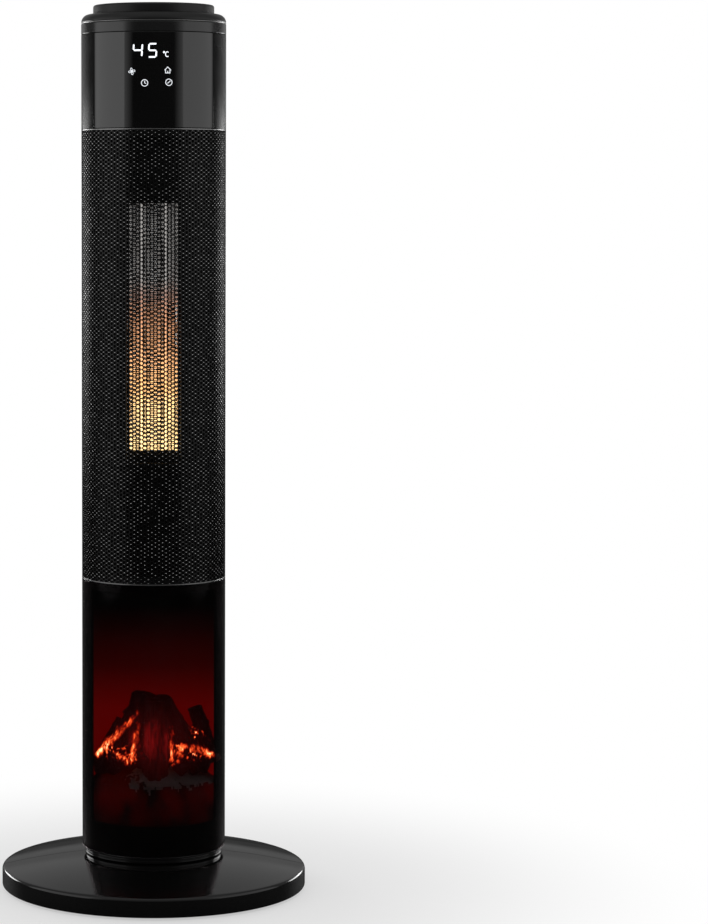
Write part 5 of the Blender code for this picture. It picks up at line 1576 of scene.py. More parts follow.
@dataclass
class Signs:
    """The digits and touch symbols that shine through the panel.

    Attributes:
        radius: The panel's outer radius.
        slant: How far a digit leans over its height.
        stroke: The width of a symbol's line.
    """

    radius: float = 0.080
    slant: float = 0.06
    stroke: float = 0.75 * MM

    def line(self, points: Sequence[Point], width: float, closed: bool = False) -> list[list[Point]]:
        """Turns a line into one quadrangle for each of its stretches, mitred at the bends.

        Args:
            points: The line's points.
            width: Its width.
            closed: Whether it goes back to its start.

        Returns:
            The quadrangles.
        """
        spots = [Vector(point) for point in points]
        count = len(spots)
        sides = []
        for k, spot in enumerate(spots):
            before = spots[k - 1] if closed or k > 0 else None
            after = spots[(k + 1) % count] if closed or k < count - 1 else None
            ways = [(spot - before).normalized()] if before is not None else []
            ways += [(after - spot).normalized()] if after is not None else []
            way = sum(ways, Vector((0, 0))).normalized()
            off = Vector((-way.y, way.x)) * width / 2 / max(0.5, way.dot(ways[0]))
            sides.append((spot + off, spot - off))
        last = count if closed else count - 1
        quads = []
        for k in range(last):
            (a, b), (c, d) = sides[k], sides[(k + 1) % count]
            quads.append([tuple(b), tuple(d), tuple(c), tuple(a)])
        return quads

    def inlay(self, name: str, outlines: Sequence[Sequence[Point]], centre: Point, finish: Finish) -> None:
        """Lays thin shapes on the panel's face.

        Args:
            name: The piece's name.
            outlines: Their flat outlines round their own middle.
            centre: The middle's distance across from the front line, and its height.
            finish: Their finish.
        """
        source = bmesh.new()
        arc = self.radius * math.asin(centre[0] / self.radius)
        for outline in outlines:
            prism(source, [(x + arc, z + centre[1]) for x, z in outline], -0.12 * MM, 0.2 * MM)
        bend(source, self.radius, 1.0)
        keep(as_object(name, source), finish, "digit_face")

    def digit(self, lit: str, width: float, height: float) -> list[list[Point]]:
        """The lit segments of a digit, each a bar with pointed ends.

        Args:
            lit: Letters a to g of the usual seven segments.
            width: The digit's width.
            height: Its height.

        Returns:
            The outlines, leaning to the right.
        """
        t, gap = 1.7 * MM, 0.18 * MM
        x, y = width / 2 - t / 2, height / 2 - t / 2
        ends = {
            "a": ((-x, y), (x, y)),
            "b": ((x, y), (x, 0)),
            "c": ((x, 0), (x, -y)),
            "d": ((-x, -y), (x, -y)),
            "e": ((-x, -y), (-x, 0)),
            "f": ((-x, 0), (-x, y)),
            "g": ((-x, 0), (x, 0)),
        }
        outlines = []
        for letter in lit:
            start, end = (Vector(point) for point in ends[letter])
            way = (end - start).normalized()
            off = Vector((-way.y, way.x)) * t / 2
            start, end = start + way * gap, end - way * gap
            tips = (start, start + way * t / 2 - off, end - way * t / 2 - off, end, end - way * t / 2 + off)
            shape = [*tips, start + way * t / 2 + off]
            outlines.append([(p.x + p.y * self.slant, p.y) for p in shape])
        return outlines

    def ring(self, radius: float, sides: int = 24, centre: Point = (0.0, 0.0)) -> list[list[Point]]:
        """A thin circle."""
        return self.line(round_outline(radius, centre, sides), self.stroke, closed=True)

    def build(self) -> None:
        """Makes the two digits, the degree sign and the four symbols."""
        self.inlay("digit_four", self.digit("fgbc", 11.2 * MM, 15.2 * MM), (-17.2 * MM, 0.9305), DIGITS)
        self.inlay("digit_five", self.digit("afgcd", 10.0 * MM, 15.8 * MM), (-1.2 * MM, 0.9303), DIGITS)
        turns = [math.radians(degrees) for degrees in range(50, 311, 26)]
        arc = [(math.cos(turn) * 2.0 * MM, math.sin(turn) * 2.6 * MM) for turn in turns]
        letter = self.line([(x + 1.3 * MM, z) for x, z in arc], 0.8 * MM)
        degree = self.ring(0.75 * MM, 12, (-2.2 * MM, 2.2 * MM))
        self.inlay("celsius_sign", [*letter, *degree], (13.4 * MM, 0.9262), DIGITS)
        self.inlay("fan_symbol", self.fan(), (-23.6 * MM, 0.9079), SYMBOLS)
        self.inlay("house_symbol", self.house(), (15.2 * MM, 0.9091), SYMBOLS)
        self.inlay(
            "clock_symbol", self.clock(((0.0, 2.3), (0.0, 0.0), (1.7, -0.7))), (-9.8 * MM, 0.8954), SYMBOLS
        )
        self.inlay("swing_symbol", self.clock(((-1.6, -1.2), (1.9, 1.7))), (16.4 * MM, 0.8961), SYMBOLS)

    def fan(self) -> list[list[Point]]:
        """Four petals round a hub."""
        shapes = self.ring(0.6 * MM, 12)
        for turn in range(0, 360, 90):
            petal = []
            for step in range(12):
                a = 2 * math.pi * step / 12
                spot = Vector((2.25 * MM + 1.35 * MM * math.cos(a), 0.5 * MM + 1.0 * MM * math.sin(a)))
                spot = spot @ Matrix.Rotation(math.radians(turn), 2)
                petal.append((spot.x, spot.y))
            shapes += self.line(petal, 0.6 * MM, closed=True)
        return shapes

    def house(self) -> list[list[Point]]:
        """A gabled outline with a door."""
        wall = [(-2.4, 0.4), (-2.4, -3.0), (2.4, -3.0), (2.4, 0.4)]
        roof = [(-3.5, -0.1), (0.0, 3.4), (3.5, -0.1)]
        door = [(0.0, -3.0), (0.0, -0.9)]
        lines = [[(x * MM, z * MM) for x, z in points] for points in (wall, roof, door)]
        return [quad for points in lines for quad in self.line(points, self.stroke)]

    def clock(self, hands: Sequence[Point]) -> list[list[Point]]:
        """A circle with hands in it."""
        return [*self.ring(3.5 * MM), *self.line([(x * MM, z * MM) for x, z in hands], self.stroke)]


# Top and neck


@dataclass
class Caps:
    """The neck at the foot of the column, and the ring, shoulder and raised disc at its top.

    Attributes:
        radius: The column's outer radius.
        ring: The ring's lowest and highest edge.
        shoulder: The shoulder's lowest and highest edge.
        cap: The disc's lowest and highest edge.
        cap_radius: The disc's radius.
        cap_groove: The fine groove in the disc's top, as radii and depths.
        neck_radius: The neck's outer radius.
        neck_groove: The bottom of the fine groove round the neck, as radius and heights.
        collar: The inner and outer radius of the collar that goes up into the column.
        sleeve: The neck's inner radius.
        opening: The radius of the hole in the floor plate.
        floor: The heights of the floor plate's two faces.
        screw_angle: How far the ring's screws are from the middle of the back.
        screw_height: Their height.
        seat: The radius of a screw's seat.
        seat_depth: How far from the axis the seats' bottoms are.
    """

    radius: float = 0.080
    ring: Point = (0.951, 0.9627)
    shoulder: Point = (0.963, 0.9727)
    cap: Point = (0.973, 0.983)
    cap_radius: float = 0.0668
    cap_groove: Profile = ((0.058, 0.0), (0.0576, 0.0003), (0.0568, 0.0003), (0.0564, 0.0))
    neck_radius: float = 0.077
    neck_groove: tuple[float, float, float] = (0.0764, 0.0438, 0.0442)
    collar: Point = (0.0715, 0.074)
    sleeve: float = 0.070
    opening: float = 0.0465
    floor: Point = (0.044, 0.0477)
    screw_angle: float = 49.4
    screw_height: float = 0.955
    seat: float = 0.0036
    seat_depth: float = 0.0775

    def build(self) -> None:
        """Makes the neck, ring, shoulder, disc and screws."""
        self.make_neck()
        self.make_ring()
        self.make_shoulder()
        self.make_disc()
        self.make_screws()

    def make_neck(self) -> None:
        """The grooved neck with its collar and the floor plate."""
        low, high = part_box("column_floor")
        (under, over), (inner, outer) = self.floor, self.collar
        groove, groove_foot, groove_head = self.neck_groove
        corners = [(0.0685, under, 0), (self.sleeve, under, 0), (self.sleeve, low.z, 0.0003)]
        corners += [(self.neck_radius, low.z, 0.0008), (self.neck_radius, 0.0436, 0.0002)]
        corners += [(groove, groove_foot, 0), (groove, groove_head, 0), (self.neck_radius, 0.0444, 0.0002)]
        corners += [(self.neck_radius, over, 0.0006), (outer, over, 0), (outer, high.z, 0.0004)]
        corners += [(inner, high.z, 0.0004), (inner, over, 0), (self.opening, over, 0)]
        corners += [(self.opening, under, 0)]
        neck = turned("column_neck", fillet(corners, 3), 192)
        keep(neck, PIANO, "shell_plastic", "column_floor")

    def make_ring(self) -> None:
        """The half polished ring under the shoulder, with the seats of its two screws."""
        inner = self.radius - 0.010
        low, high = self.ring
        corners = [(inner, low, 0), (self.radius, low, 0.0006), (self.radius, high, 0.0012), (inner, high, 0)]
        ring = turned("head_ring_band", fillet(corners, 5), 256)
        for side in (-1, 1):
            self.bore(ring, REAR + side * self.screw_angle)
        keep(true_round(ring), SEMI_GLOSS, "shell_plastic", "head_ring")

    def make_shoulder(self) -> None:
        """The rounded shoulder and the thin chrome strip under it."""
        low, high = self.shoulder
        inner, foot, head = 0.0785, low - 0.0002, low + 0.0006
        corners = [(inner, foot, 0), (self.radius, foot, 0.0003)]
        corners += [(self.radius, head, 0.0003), (inner, head, 0)]
        strip = turned("head_strip", fillet(corners, 2), 256)
        keep(strip, TRIM, "screw_steel")
        low += 0.0007
        rise = high - low
        arc = [(self.radius - rise * (1 - math.cos(a)), low + rise * math.sin(a)) for a in self.quarter(12)]
        inner = 0.060
        outline = [(inner, low), (self.radius - 0.0004, low), *[(r, z + 0.0001) for r, z in arc[1:-1]]]
        outline += [(self.radius - rise, high), (inner, high)]
        keep(turned("top_shoulder_ring", outline, 256), SATIN, "shell_plastic", "top_shoulder")

    def make_disc(self) -> None:
        """The raised disc with a fine groove near its edge."""
        low, high = self.cap
        corners = [(0, low, 0), (self.cap_radius, low, 0.0003), (self.cap_radius, high, 0.0026)]
        corners += [(radius, high - depth, 0) for radius, depth in self.cap_groove]
        disc = turned("top_cap_disc", fillet([*corners, (0, high, 0)], 6), 256)
        keep(true_round(disc), SATIN, "shell_plastic", "top_cap")

    def make_screws(self) -> None:
        """The two pale screws in the ring."""
        for side, name in ((-1, "head_screw_left"), (1, "head_screw_right")):
            angle = REAR + side * self.screw_angle
            head = screw(f"{name}_head", 0.0031, -0.006, 0.0013, face_up=True)
            place = on_column(self.seat_depth + 0.0003, angle, self.screw_height)
            head.data.transform(Matrix.Translation(place) @ facing(angle))
            keep(head, ZINC, "screw_steel", name)

    def quarter(self, steps: int) -> list[float]:
        """The angles of a quarter turn in equal steps, in radians."""
        return [math.pi / 2 * step / steps for step in range(steps + 1)]

    def bore(self, ring: Piece, angle: float) -> None:
        """Cuts the seat of a screw into the ring, at an angle from the front."""
        foot, head = self.seat_depth, self.radius + 0.004
        tool = turned("tool", [(0.0, foot), (self.seat, foot), (self.seat, head), (0.0, head)], 28)
        tool.data.transform(Matrix.Translation((0, 0, self.screw_height)) @ facing(angle))
        cut(ring, tool)


# Heating element and blower


@dataclass
class Element:
    """The hot element behind the grille: a frame, two ceramic bars and three packs of folded fins.

    Attributes:
        pitch: The spacing of the fins.
        sheet: The fins' thickness.
    """

    pitch: float = 2.4 * MM
    sheet: float = 0.35 * MM

    def build(self) -> None:
        """Makes the frame, bars and fins."""
        low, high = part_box("heater_frame")
        edge, deep, foot, head = 0.0017, high.y - low.y, 0.013, 0.008
        y, z = (low.y + high.y) / 2, (low.z + high.z) / 2
        half, parts = (high.x - low.x) / 2, []
        for side in (-1, 1):
            parts.append(block("bar", (edge, deep, high.z - low.z), (side * (half - edge / 2), y, z), 0.0005))
            name = "element_strip_left" if side < 0 else "element_strip_right"
            strip = block(name, (0.0008, 0.014, high.z - low.z - foot - head), (0, 0, 0), 0.0002, 1)
            strip.data.transform(
                Matrix.Translation((side * (half - edge - 0.0004), y - 0.001, z + (foot - head) / 2))
            )
            # The strips' orange is a painted glow, light from below
            keep(strip, PAINTED_GLOW_STRIPS, "heater_frame")
        for tall, middle in ((foot, low.z + foot / 2), (head, high.z - head / 2)):
            parts.append(block("bar", (2 * (half - edge), deep, tall), (0, y, middle), 0.0005))
        keep(together("element_frame", *parts), BLACK_STEEL, "heater_frame", "heater_frame")
        for name in ("ptc_bar_left", "ptc_bar_right"):
            low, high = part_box(name)
            bar = block(f"{name}_tube", high - low, (low + high) / 2, 0.0006)
            # The bars' glow is painted light from below
            keep(bar, PAINTED_GLOW_FRAME, "ptc_ceramic", name)
        for name in ("fin_pack_left", "fin_pack_centre", "fin_pack_right"):
            self.pack(name)
        self.baffles()

    def baffles(self) -> None:
        """The dark plates that lead the air through the element and close the space behind the grille."""
        edge, side, low, high = 0.0288, 0.0582, 0.4823, 0.7742
        spans = {
            "baffle_left": ((-side, -edge), (-0.050, -0.048), (low, high)),
            "baffle_right": ((edge, side), (-0.050, -0.048), (low, high)),
            "baffle_top": ((-side, side), (-0.050, -0.048), (0.7763, 0.8464)),
            "duct_wall_left": ((-0.0306, -0.0294), (-0.0705, -0.020), (0.3496, 0.8464)),
            "duct_wall_right": ((0.0294, 0.0306), (-0.0705, -0.020), (0.3496, 0.8464)),
            "partition_left": ((-0.0716, -0.0300), (-0.0225, -0.0205), (0.3496, 0.8464)),
            "partition_right": ((0.0300, 0.0716), (-0.0225, -0.0205), (0.3496, 0.8464)),
        }
        for name, across in spans.items():
            size = [last - first for first, last in across]
            centre = [(first + last) / 2 for first, last in across]
            keep(block(name, size, centre, 0.0004), INNER, "inner_plastic")

    def pack(self, name: str) -> None:
        """Grows one pack: a zigzag of thin fins between two bars.

        Args:
            name: The CAD node that it stands for.
        """
        low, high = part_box(name)
        sizes: dict[str, float | int] = {
            "Width": high.x - low.x, "Depth": high.y - low.y, "Pitch": self.pitch
        }
        sizes |= {"Sheet": self.sheet, "Count": int((high.z - low.z) / self.pitch) - 1}
        middle = (low + high) / 2
        sizes |= {"Across": middle.x, "Back": middle.y, "Foot": low.z + self.pitch * 0.75}
        tree = Tree(f"fins of {name}", sizes)
        given = tree.given
        size = (given["Width"], given["Depth"], given["Sheet"])
        fin = tree.add("MeshCube", [size], out="Mesh")
        foot = (given["Across"], given["Back"], given["Foot"])
        step = (0.0, 0.0, given["Pitch"])
        line = tree.add("MeshLine", {"Count": given["Count"], "Start Location": foot, "Offset": step})
        odd = tree.add("MODULO", [tree.add("InputIndex"), 2.0])
        lean = tree.add(
            "MULTIPLY", [tree.add("SUBTRACT", [odd, 0.5]), 2 * math.atan(self.pitch * 0.8 / sizes["Width"])]
        )
        turn = (0.0, lean, 0.0)
        fins = tree.add("InstanceOnPoints", {"Points": line, "Instance": fin, "Rotation": turn})
        # The fins' glow is painted light from below
        keep(tree.grow(f"{name}_fins", fins, PAINTED_GLOW_FINS), PAINTED_GLOW_FINS, "hot_fins", name)


@dataclass
class Blower:
    """The two blower wheels, whose blades show dimly through the inlet.

    Attributes:
        blades: How many blades a wheel has.
        radius: The wheels' outer radius.
        axis: The depth of their axis.
        chord: A blade's depth.
        sheet: A blade's thickness.
        lean: How far a blade is turned from straight outwards, in degrees.
        bore: The inner radius of the end plates.
        plates: The heights of each end plate's two faces.
        bridges: The heights of each bridge's two edges.
        back: The depth of the bridges.
    """

    blades: int = 32
    radius: float = 0.030
    axis: float = 0.018
    chord: float = 0.007
    sheet: float = 0.0007
    lean: float = 38.0
    bore: float = 0.0093
    plates: tuple[Point, ...] = ((0.4829, 0.4892), (0.7673, 0.7736))
    bridges: tuple[Point, ...] = ((0.599, 0.6065), (0.6495, 0.6565), (0.764, 0.7715))
    back: float = 0.0545

    def build(self) -> None:
        """Makes the plates and bridges, and then both wheels."""
        self.housing()
        for name in ("rotor_lower", "rotor_upper"):
            self.wheel(name)

    def housing(self) -> None:
        """The plates that close the blower's ends, the bridges behind the wheels and their web."""
        for name, (low, high) in zip(("end_plate_low", "end_plate_high"), self.plates):
            outline = [(self.bore, low), (self.radius, low), (self.radius, high), (self.bore, high)]
            plate = turned(name, outline, 64)
            plate.data.transform(Matrix.Translation((0, self.axis, 0)))
            keep(plate, INNER, "inner_plastic")
        for number, (low, high) in enumerate(self.bridges):
            size, centre = (0.084, 0.002, high - low), (0, self.back, (low + high) / 2)
            keep(block(f"blower_bridge_{number + 1}", size, centre, 0.0005), INNER, "inner_plastic")
        web = block("blower_web", (0.030, 0.002, 0.044), (0.027, self.back, 0.628), 0.0004)
        keep(web, INNER, "inner_plastic")

    def wheel(self, name: str) -> None:
        """Grows one wheel: a ring of leaning blades between thin bands.

        Args:
            name: The CAD node that it stands for.
        """
        low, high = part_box(name)
        middle = (low.z + high.z) / 2
        sizes: dict[str, float | int] = {"Blades": self.blades, "Ring": self.radius - self.chord * 0.55}
        sizes |= {"Chord": self.chord, "Height": high.z - low.z - 0.003, "Sheet": self.sheet}
        tree = Tree(f"blades of {name}", sizes | {"Back": self.axis, "Middle": middle})
        given = tree.given
        ring = tree.add("MeshCircle", {"Vertices": given["Blades"], "Radius": given["Ring"]})
        blade = tree.add("MeshCube", [(given["Chord"], given["Sheet"], given["Height"])], out="Mesh")
        from_axis = {"Vector": tree.add("InputPosition")}
        way = tree.add("FunctionNodeAlignRotationToVector", from_axis, axis="X")
        rotate = {"Rotation": way, "Rotate By": (0, 0, math.radians(self.lean))}
        turn = tree.add("FunctionNodeRotateRotation", rotate, rotation_space="LOCAL")
        blades = tree.add("InstanceOnPoints", {"Points": ring, "Instance": blade, "Rotation": turn})
        real = tree.add("RealizeInstances", [blades])
        place = (0.0, given["Back"], given["Middle"])
        fan = tree.add("Transform", {"Geometry": real, "Translation": place})
        parts = [tree.grow(f"{name}_blades", fan, ALUMINIUM)]
        thick, rim, inner = 0.0016, self.radius - 0.0004, self.radius - self.chord
        spans = ((low.z, low.z + thick), (middle - thick / 2, middle + thick / 2), (high.z - thick, high.z))
        for (foot, top), hole in zip(spans, (0.0045, inner, inner)):
            band = turned("band", [(hole, foot), (rim, foot), (rim, top), (hole, top)], 64)
            band.data.transform(Matrix.Translation((0, self.axis, 0)))
            parts.append(band)
        keep(together(f"{name}_wheel", *parts), ALUMINIUM, "aluminium", name, body=Body.BLOWER)


# Log fire


@dataclass
class LogFire:
    """The resin logs on their ember bed and the red film behind them.

    Attributes:
        logs: Each log's two ends, its radius and its seed, in millimetres.
        edges: Lines, across and upwards in millimetres, along which the fire glows.
        core: The middle of the painted red glow on the bark, across and upwards in millimetres.
        reach: How wide a glowing line is.
        embers: Patches of scattered embers, as their middle and half sizes in millimetres.
    """

    logs: tuple[tuple[Sequence[float], Sequence[float], float, int], ...] = (
        ((-52, -40, 137), (-9, -30, 221), 11.5, 1),
        ((51, -39, 137), (11, -30, 214), 11.0, 2),
        ((2, -46, 128), (2, -35, 214), 15.5, 3),
        ((-24, -24, 140), (-11, -27, 222), 13.0, 4),
        ((14, -22, 140), (7, -27, 218), 12.0, 5),
        ((-13, -60, 150), (-15, -36, 160), 8.0, 6),
        ((66, -28, 146), (46, -24, 206), 9.0, 7),
        ((26, -54, 142), (46, -36, 158), 8.5, 8),
        ((-62, -32, 140), (-28, -50, 148), 7.5, 9),
        ((-62, -22, 142), (-34, -20, 190), 8.5, 10),
        ((30, -20, 144), (56, -16, 192), 8.0, 11),
        ((52, -46, 140), (64, -30, 164), 6.5, 12),
        ((-40, -56, 140), (-50, -40, 166), 6.0, 13),
        ((-30, -26, 196), (-8, -22, 214), 6.5, 14),
        ((22, -24, 196), (4, -20, 216), 6.0, 15),
        ((44, -30, 172), (30, -24, 190), 4.5, 16),
        ((-48, -28, 168), (-30, -26, 180), 4.5, 17),
    )
    edges: tuple[tuple[float, float, float, float, float], ...] = (
        (-16.5, 204, -63, 154, 1.0),
        (-16.5, 192, -25, 149, 0.9),
        (19, 187, 20, 149, 0.85),
        (36, 167, 63, 156, 0.95),
        (27, 150, 33, 166, 1.0),
        (-44, 160, -30, 150, 0.9),
        (52, 186, 62, 172, 0.45),
        (20, 205, 46, 178, 0.45),
    )
    embers: tuple[tuple[float, float, float, float], ...] = (
        (-41, 161, 21, 11),
        (-24, 157, 10, 9),
        (46, 158, 21, 10),
        (28, 160, 9, 12),
        (48, 178, 11, 9),
    )
    core: Point = (0.0, 172.0)
    reach: float = 5.0

    def build(self) -> None:
        """Makes the logs, the bed and the film."""
        shapes = [self.log(*facts) for facts in self.logs]
        made = together("log_set_bark", *shapes)
        self.light(made)
        keep(made, LOG_BARK, "log_resin", "log_set")
        self.bed()
        low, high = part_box("flame_screen")
        film = block("flame_film", high - low, (low + high) / 2, 0.0002)
        keep(film, SCREEN, "flame_screen", "flame_screen")

    def log(self, low: Sequence[float], high: Sequence[float], radius: float, seed: int) -> Piece:
        """A barked log: a lumpy tube with ridges along the grain and rough sawn ends.

        Args:
            low: Its lower end in millimetres.
            high: Its upper end.
            radius: Its mean radius in millimetres.
            seed: What its bark looks like.

        Returns:
            The log.
        """
        start, end = Vector(low) * MM, Vector(high) * MM
        way = end - start
        length, turn = way.length, way.to_track_quat("Z", "Y").to_matrix().to_4x4()
        sides, rings = 56, max(10, round(length / (1.6 * MM)))
        source = bmesh.new()
        rows = []
        for ring in range(rings + 1):
            along = ring / rings
            row = []
            for side in range(sides):
                a = 2 * math.pi * side / sides
                spot = Vector((math.cos(a) * 2.2, math.sin(a) * 2.2, along * length / (26 * MM) + 7.3 * seed))
                lump = noise.noise(spot * 0.6) * 0.24 + noise.noise(spot * 1.7) * 0.16
                ridge = abs(noise.noise(Vector((math.cos(a) * 5.5, math.sin(a) * 5.5, spot.z * 1.1)))) * -0.30
                crack = noise.noise(Vector((math.cos(a) * 9, math.sin(a) * 9, spot.z * 2.6))) * 0.06
                size = radius * MM * (1.06 + lump + ridge + crack) * (1 - 0.10 * along)
                row.append(source.verts.new((size * math.cos(a), size * math.sin(a), along * length)))
            rows.append(row)
        for one, two in zip(rows, rows[1:]):
            skin(source, one, two)
        for row, side in ((rows[0], -1), (rows[-1], 1)):
            inner = []
            middle = sum((v.co for v in row), Vector()) / sides
            for share in (0.82, 0.45):
                circle = [
                    source.verts.new(middle.lerp(v.co, share) + Vector((0, 0, side * 0.8 * MM))) for v in row
                ]
                inner.append(circle)
            peak = source.verts.new(middle + Vector((0, 0, side * 0.4 * MM)))
            for one, two in zip([row, inner[0]], inner):
                skin(source, one, two)
            for k in range(sides):
                source.faces.new((inner[-1][k], inner[-1][(k + 1) % sides], peak))
        source.transform(Matrix.Translation(start) @ turn)
        return as_object("log", source, 50.0)

    def shine(self, x: float, z: float) -> float:
        """How strongly the fire glows at a place seen from the front.

        Args:
            x: The distance across in millimetres.
            z: The height in millimetres.

        Returns:
            A value from 0 to 1.
        """
        best = 0.0
        for x0, z0, x1, z1, power in self.edges:
            line, spot = Vector((x1 - x0, z1 - z0)), Vector((x - x0, z - z0))
            share = max(0.0, min(1.0, spot.dot(line) / line.length_squared))
            off = (spot - line * share).length
            off += 2.2 * noise.noise(Vector((x * 0.16, z * 0.16, 3.0)))
            best = max(best, power * (0.55 + 0.45 * share) * math.exp(-((max(off, 0.0) / self.reach) ** 2)))
        for x0, z0, wide, tall in self.embers:
            off = math.hypot((x - x0) / wide, (z - z0) / tall)
            spark = noise.noise(Vector((x * 0.34, z * 0.34, 8.0)))
            spark += 0.6 * noise.noise(Vector((x * 0.8, z * 0.8, 2.0)))
            best = max(best, math.exp(-off * off) * max(0.0, min(1.0, 0.35 + 1.5 * spark)))
        return best

    def light(self, piece: Piece) -> None:
        """Writes where a piece glows and where its bark has a painted red glow.

        Args:
            piece: The logs or the bed.
        """
        mesh = piece.data
        glow = mesh.attributes.new("glow", "FLOAT", "POINT")
        warm = mesh.attributes.new("warm", "FLOAT", "POINT")
        for number, v in enumerate(mesh.vertices):
            x, z = v.co.x / MM, v.co.z / MM
            ahead = max(0.0, min(1.0, -v.normal.y + 0.45))
            glow.data[number].value = self.shine(x, z) * (0.5 + 0.5 * ahead)
            off = math.hypot((x - self.core[0]) / 42, (z - self.core[1]) / 34)
            warm.data[number].value = math.exp(-off * off) * (0.55 + 0.45 * ahead)

    def bed(self) -> None:
        """The lumpy bed: grey ash on top, and a dark front that the lamps redden."""
        low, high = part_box("ember_bed")
        source = bmesh.new()
        around, angle = 168, 75.0
        front, run, brow, top, inner = 0.0735, 0.0475, 0.1255, 0.1265, 0.0700
        path = [(front, low.z), *[(front, low.z + (brow - low.z) * k / 14) for k in range(1, 15)]]
        path += [(front - run * k / 22, top + (high.z - top) * k / 22) for k in range(1, 23)]
        path += [(0.0245, high.z - 0.004), (inner, 0.1205), (inner, low.z)]
        rows = []
        for step in range(around + 1):
            turn = math.radians(-angle + 2 * angle * step / around)
            row = []
            for radius, height in path:
                spot = Vector((radius * math.sin(turn), -radius * math.cos(turn), height))
                on_top = 0.1 < (height - low.z) / (high.z - low.z) and 0.026 < radius
                lump = noise.noise(spot / (11 * MM)) + 0.5 * noise.noise(spot / (4.5 * MM))
                if on_top and radius < front:
                    spot.z += (2.6 * lump - 0.6) * MM
                elif on_top:
                    spot *= 1 - 0.012 * (0.8 + lump)
                    spot.z = height
                row.append(source.verts.new(spot))
            rows.append(row)
        for one, two in zip(rows, rows[1:]):
            for k in range(len(path)):
                m = (k + 1) % len(path)
                source.faces.new((one[k], two[k], two[m], one[m]))
        source.faces.new(rows[0])
        source.faces.new(reversed(rows[-1]))
        made = as_object("ember_bed_crust", source, 60.0)
        for finish in (ASH, EMBERS):
            made.data.materials.append(finish.build())
        for face in made.data.polygons:
            ragged = noise.noise(face.center / (9 * MM)) + 0.6 * noise.noise(face.center / (3.5 * MM))
            high_enough = face.center.z > 0.1225 + 0.008 * ragged
            face.material_index = 0 if high_enough and face.center.x > -0.022 + 0.014 * ragged else 1
        keep(made, None, "ember_resin", "ember_bed")


# Studio


@dataclass(frozen=True)
class Softbox:
    """A soft lamp that stands round the object.

    Attributes:
        angle: Where it stands, from the front.
        size: Its width and height.
        height: The height of its middle.
        power: Its power in watts.
    """

    angle: float
    size: Point
    height: float
    power: float


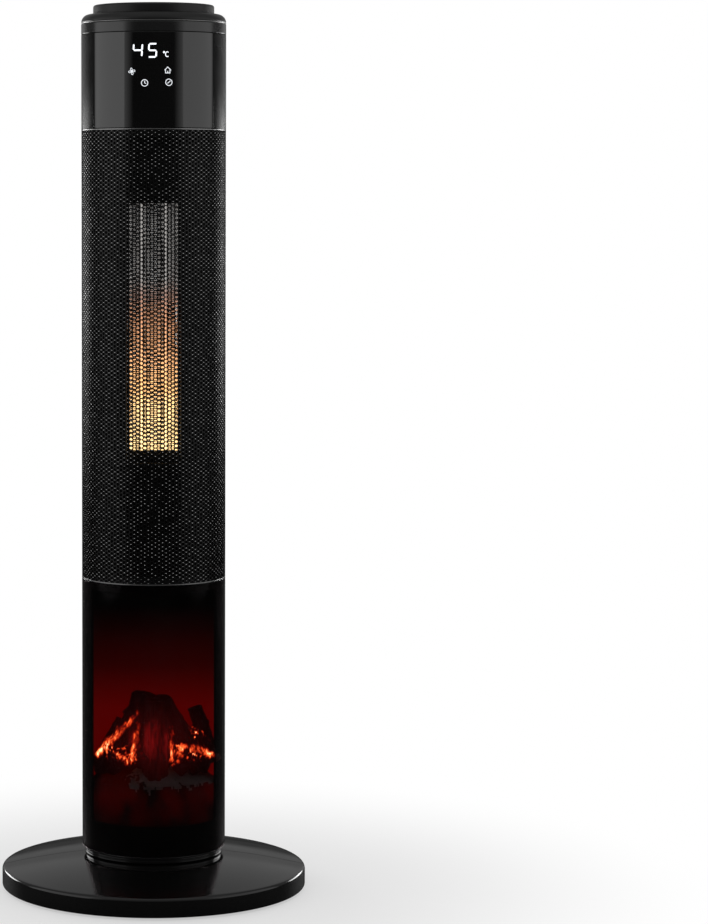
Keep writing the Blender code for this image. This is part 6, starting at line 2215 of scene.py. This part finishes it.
@dataclass
class Studio:
    """The camera, four soft lamps, the white surroundings and the pale floor.

    Attributes:
        eye: Where the camera stands.
        pitch: How far it looks down.
        lens: Its focal length in millimetres.
        shift: How far the frame is moved, so that the object stands at its left.
        lamps: The tall softboxes beside the object and the low ones behind it.
        bands: What a glossy surface reflects, from straight in front of the object to straight behind it.
        ambient: The light that the surroundings give to surfaces.
    """

    eye: tuple[float, float, float] = (0.0, -3.343, 0.7807)
    pitch: float = 4.1
    lens: float = 117.28
    shift: Point = (0.2168, -0.0614)
    lamps: tuple[Softbox, ...] = (
        Softbox(-76, (2.6, 2.2), 0.95, 9),
        Softbox(76, (2.6, 2.2), 0.95, 6),
        Softbox(138, (1.2, 0.48), 0.62, 13),
        Softbox(-138, (1.2, 0.48), 0.62, 13),
    )
    bands: Stops = (
        (0.0, "#303030"),
        (0.08, "#303030"),
        (0.15, "#b0b0b0"),
        (0.60, "#b0b0b0"),
        (0.67, "#505050"),
        (0.84, "#484848"),
        (0.9, "#a0a0a0"),
        (0.975, "#a0a0a0"),
        (0.99, "#484848"),
    )
    ambient: float = 0.52

    def build(self) -> None:
        """Makes the camera, lamps, surroundings and floor."""
        scene = bpy.context.scene
        scene.view_settings.view_transform = "Standard"
        camera = put("camera", bpy.data.cameras.new("camera"))
        camera.location = self.eye
        camera.rotation_euler = (math.radians(90 - self.pitch), 0, 0)
        camera.data.lens = self.lens
        camera.data.shift_x, camera.data.shift_y = self.shift
        scene.camera = camera
        self.surroundings(scene)
        self.floor()
        for box in self.lamps:
            self.lamp(box)

    def lamp(self, box: Softbox) -> None:
        """Sets up one softbox."""
        data = bpy.data.lights.new("softbox", "AREA")
        data.shape, data.size, data.size_y = "RECTANGLE", *box.size
        data.energy = box.power
        made = put("softbox", data)
        made.location = on_column(2.3, box.angle, box.height)
        aim = Vector((0, 0, 0.55)) - made.location
        made.rotation_euler = aim.to_track_quat("-Z", "Y").to_euler()

    def surroundings(self, scene: bpy.types.Scene) -> None:
        """White to the eye and through glass, with pale and dark bands in gloss."""
        world = bpy.data.worlds.new("surroundings")
        scene.world = world
        world.use_nodes = True
        tree = world.node_tree
        tree.nodes.clear()
        way = add_node(tree, "TexCoord", out="Generated")
        _, ahead, upwards = add_node(tree, "SeparateXYZ", [way]).node.outputs
        around = add_node(tree, "MapRange", {"Value": ahead, "From Min": -1.0, "From Max": 1.0})
        bands = add_node(tree, "ValToRGB", [around], out="Color", stops=self.bands)
        inputs = {"Value": upwards, "From Min": 0.045, "From Max": 0.13, "To Max": 0.22}
        seen = add_node(tree, "MAXIMUM", [bands, add_node(tree, "MapRange", inputs)])
        rays = add_node(tree, "LightPath")
        inputs = {"Value": rays.node.outputs["Is Glossy Ray"], "To Min": self.ambient, "To Max": seen}
        level = add_node(tree, "MapRange", inputs)
        straight = add_node(tree, "MAXIMUM", [rays, rays.node.outputs["Is Transmission Ray"]])
        strength = add_node(tree, "MAXIMUM", [straight, level])
        sky = add_node(tree, "Background", {"Color": linear("#ffffff"), "Strength": strength})
        add_node(tree, "OutputWorld", [sky])

    def floor(self) -> None:
        """A pale floor that shows the object's shadow and goes over into the white surroundings."""
        source = bmesh.new()
        bmesh.ops.create_circle(source, cap_ends=True, radius=9.0, segments=96)
        made = as_object("floor", source)
        material = bpy.data.materials.new("pale painted floor")
        material.use_nodes = True
        tree = material.node_tree
        shader = tree.nodes["Principled BSDF"]
        shader.inputs["Roughness"].default_value = 0.6
        rays = add_node(tree, "LightPath")
        gloss = rays.node.outputs["Is Glossy Ray"]
        seen = add_node(tree, "MAXIMUM", [rays, gloss])
        seen = add_node(tree, "MAXIMUM", [seen, rays.node.outputs["Is Transmission Ray"]])
        pale = add_node(tree, "MapRange", {"Value": gloss, "To Min": 0.92, "To Max": 0.04})
        tree.links.new(pale, shader.inputs["Base Color"])
        place = add_node(tree, "TexCoord", out="Object")
        away = add_node(tree, "VectorMath", [place], out="Value", operation="LENGTH")
        inputs = {"Value": away, "From Min": 0.2, "From Max": 0.65, "To Min": 0.5}
        far = add_node(tree, "MapRange", inputs, interpolation_type="SMOOTHSTEP")
        share = add_node(tree, "MULTIPLY", [far, seen])
        white = add_node(tree, "MapRange", {"Value": gloss, "To Min": 1.0, "To Max": 0.04})
        light = add_node(tree, "Emission", {"Color": linear("#ffffff"), "Strength": white})
        mixed = add_node(tree, "MixShader", [share, shader.outputs[0], light])
        tree.links.new(mixed, tree.nodes["Material Output"].inputs["Surface"])
        made.data.materials.append(material)


def main() -> None:
    """Builds the studio and each assembly in order."""
    logging.basicConfig(level=logging.INFO, format="%(name)s: %(message)s")
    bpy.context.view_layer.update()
    Studio().build()
    Base().build()
    Caps().build()
    RearShell().build()
    MainsSwitch().build()
    FrontCovers().build()
    Signs().build()
    Element().build()
    Blower().build()
    LogFire().build()
    dress_carried()


if __name__ == "__main__":
    main()
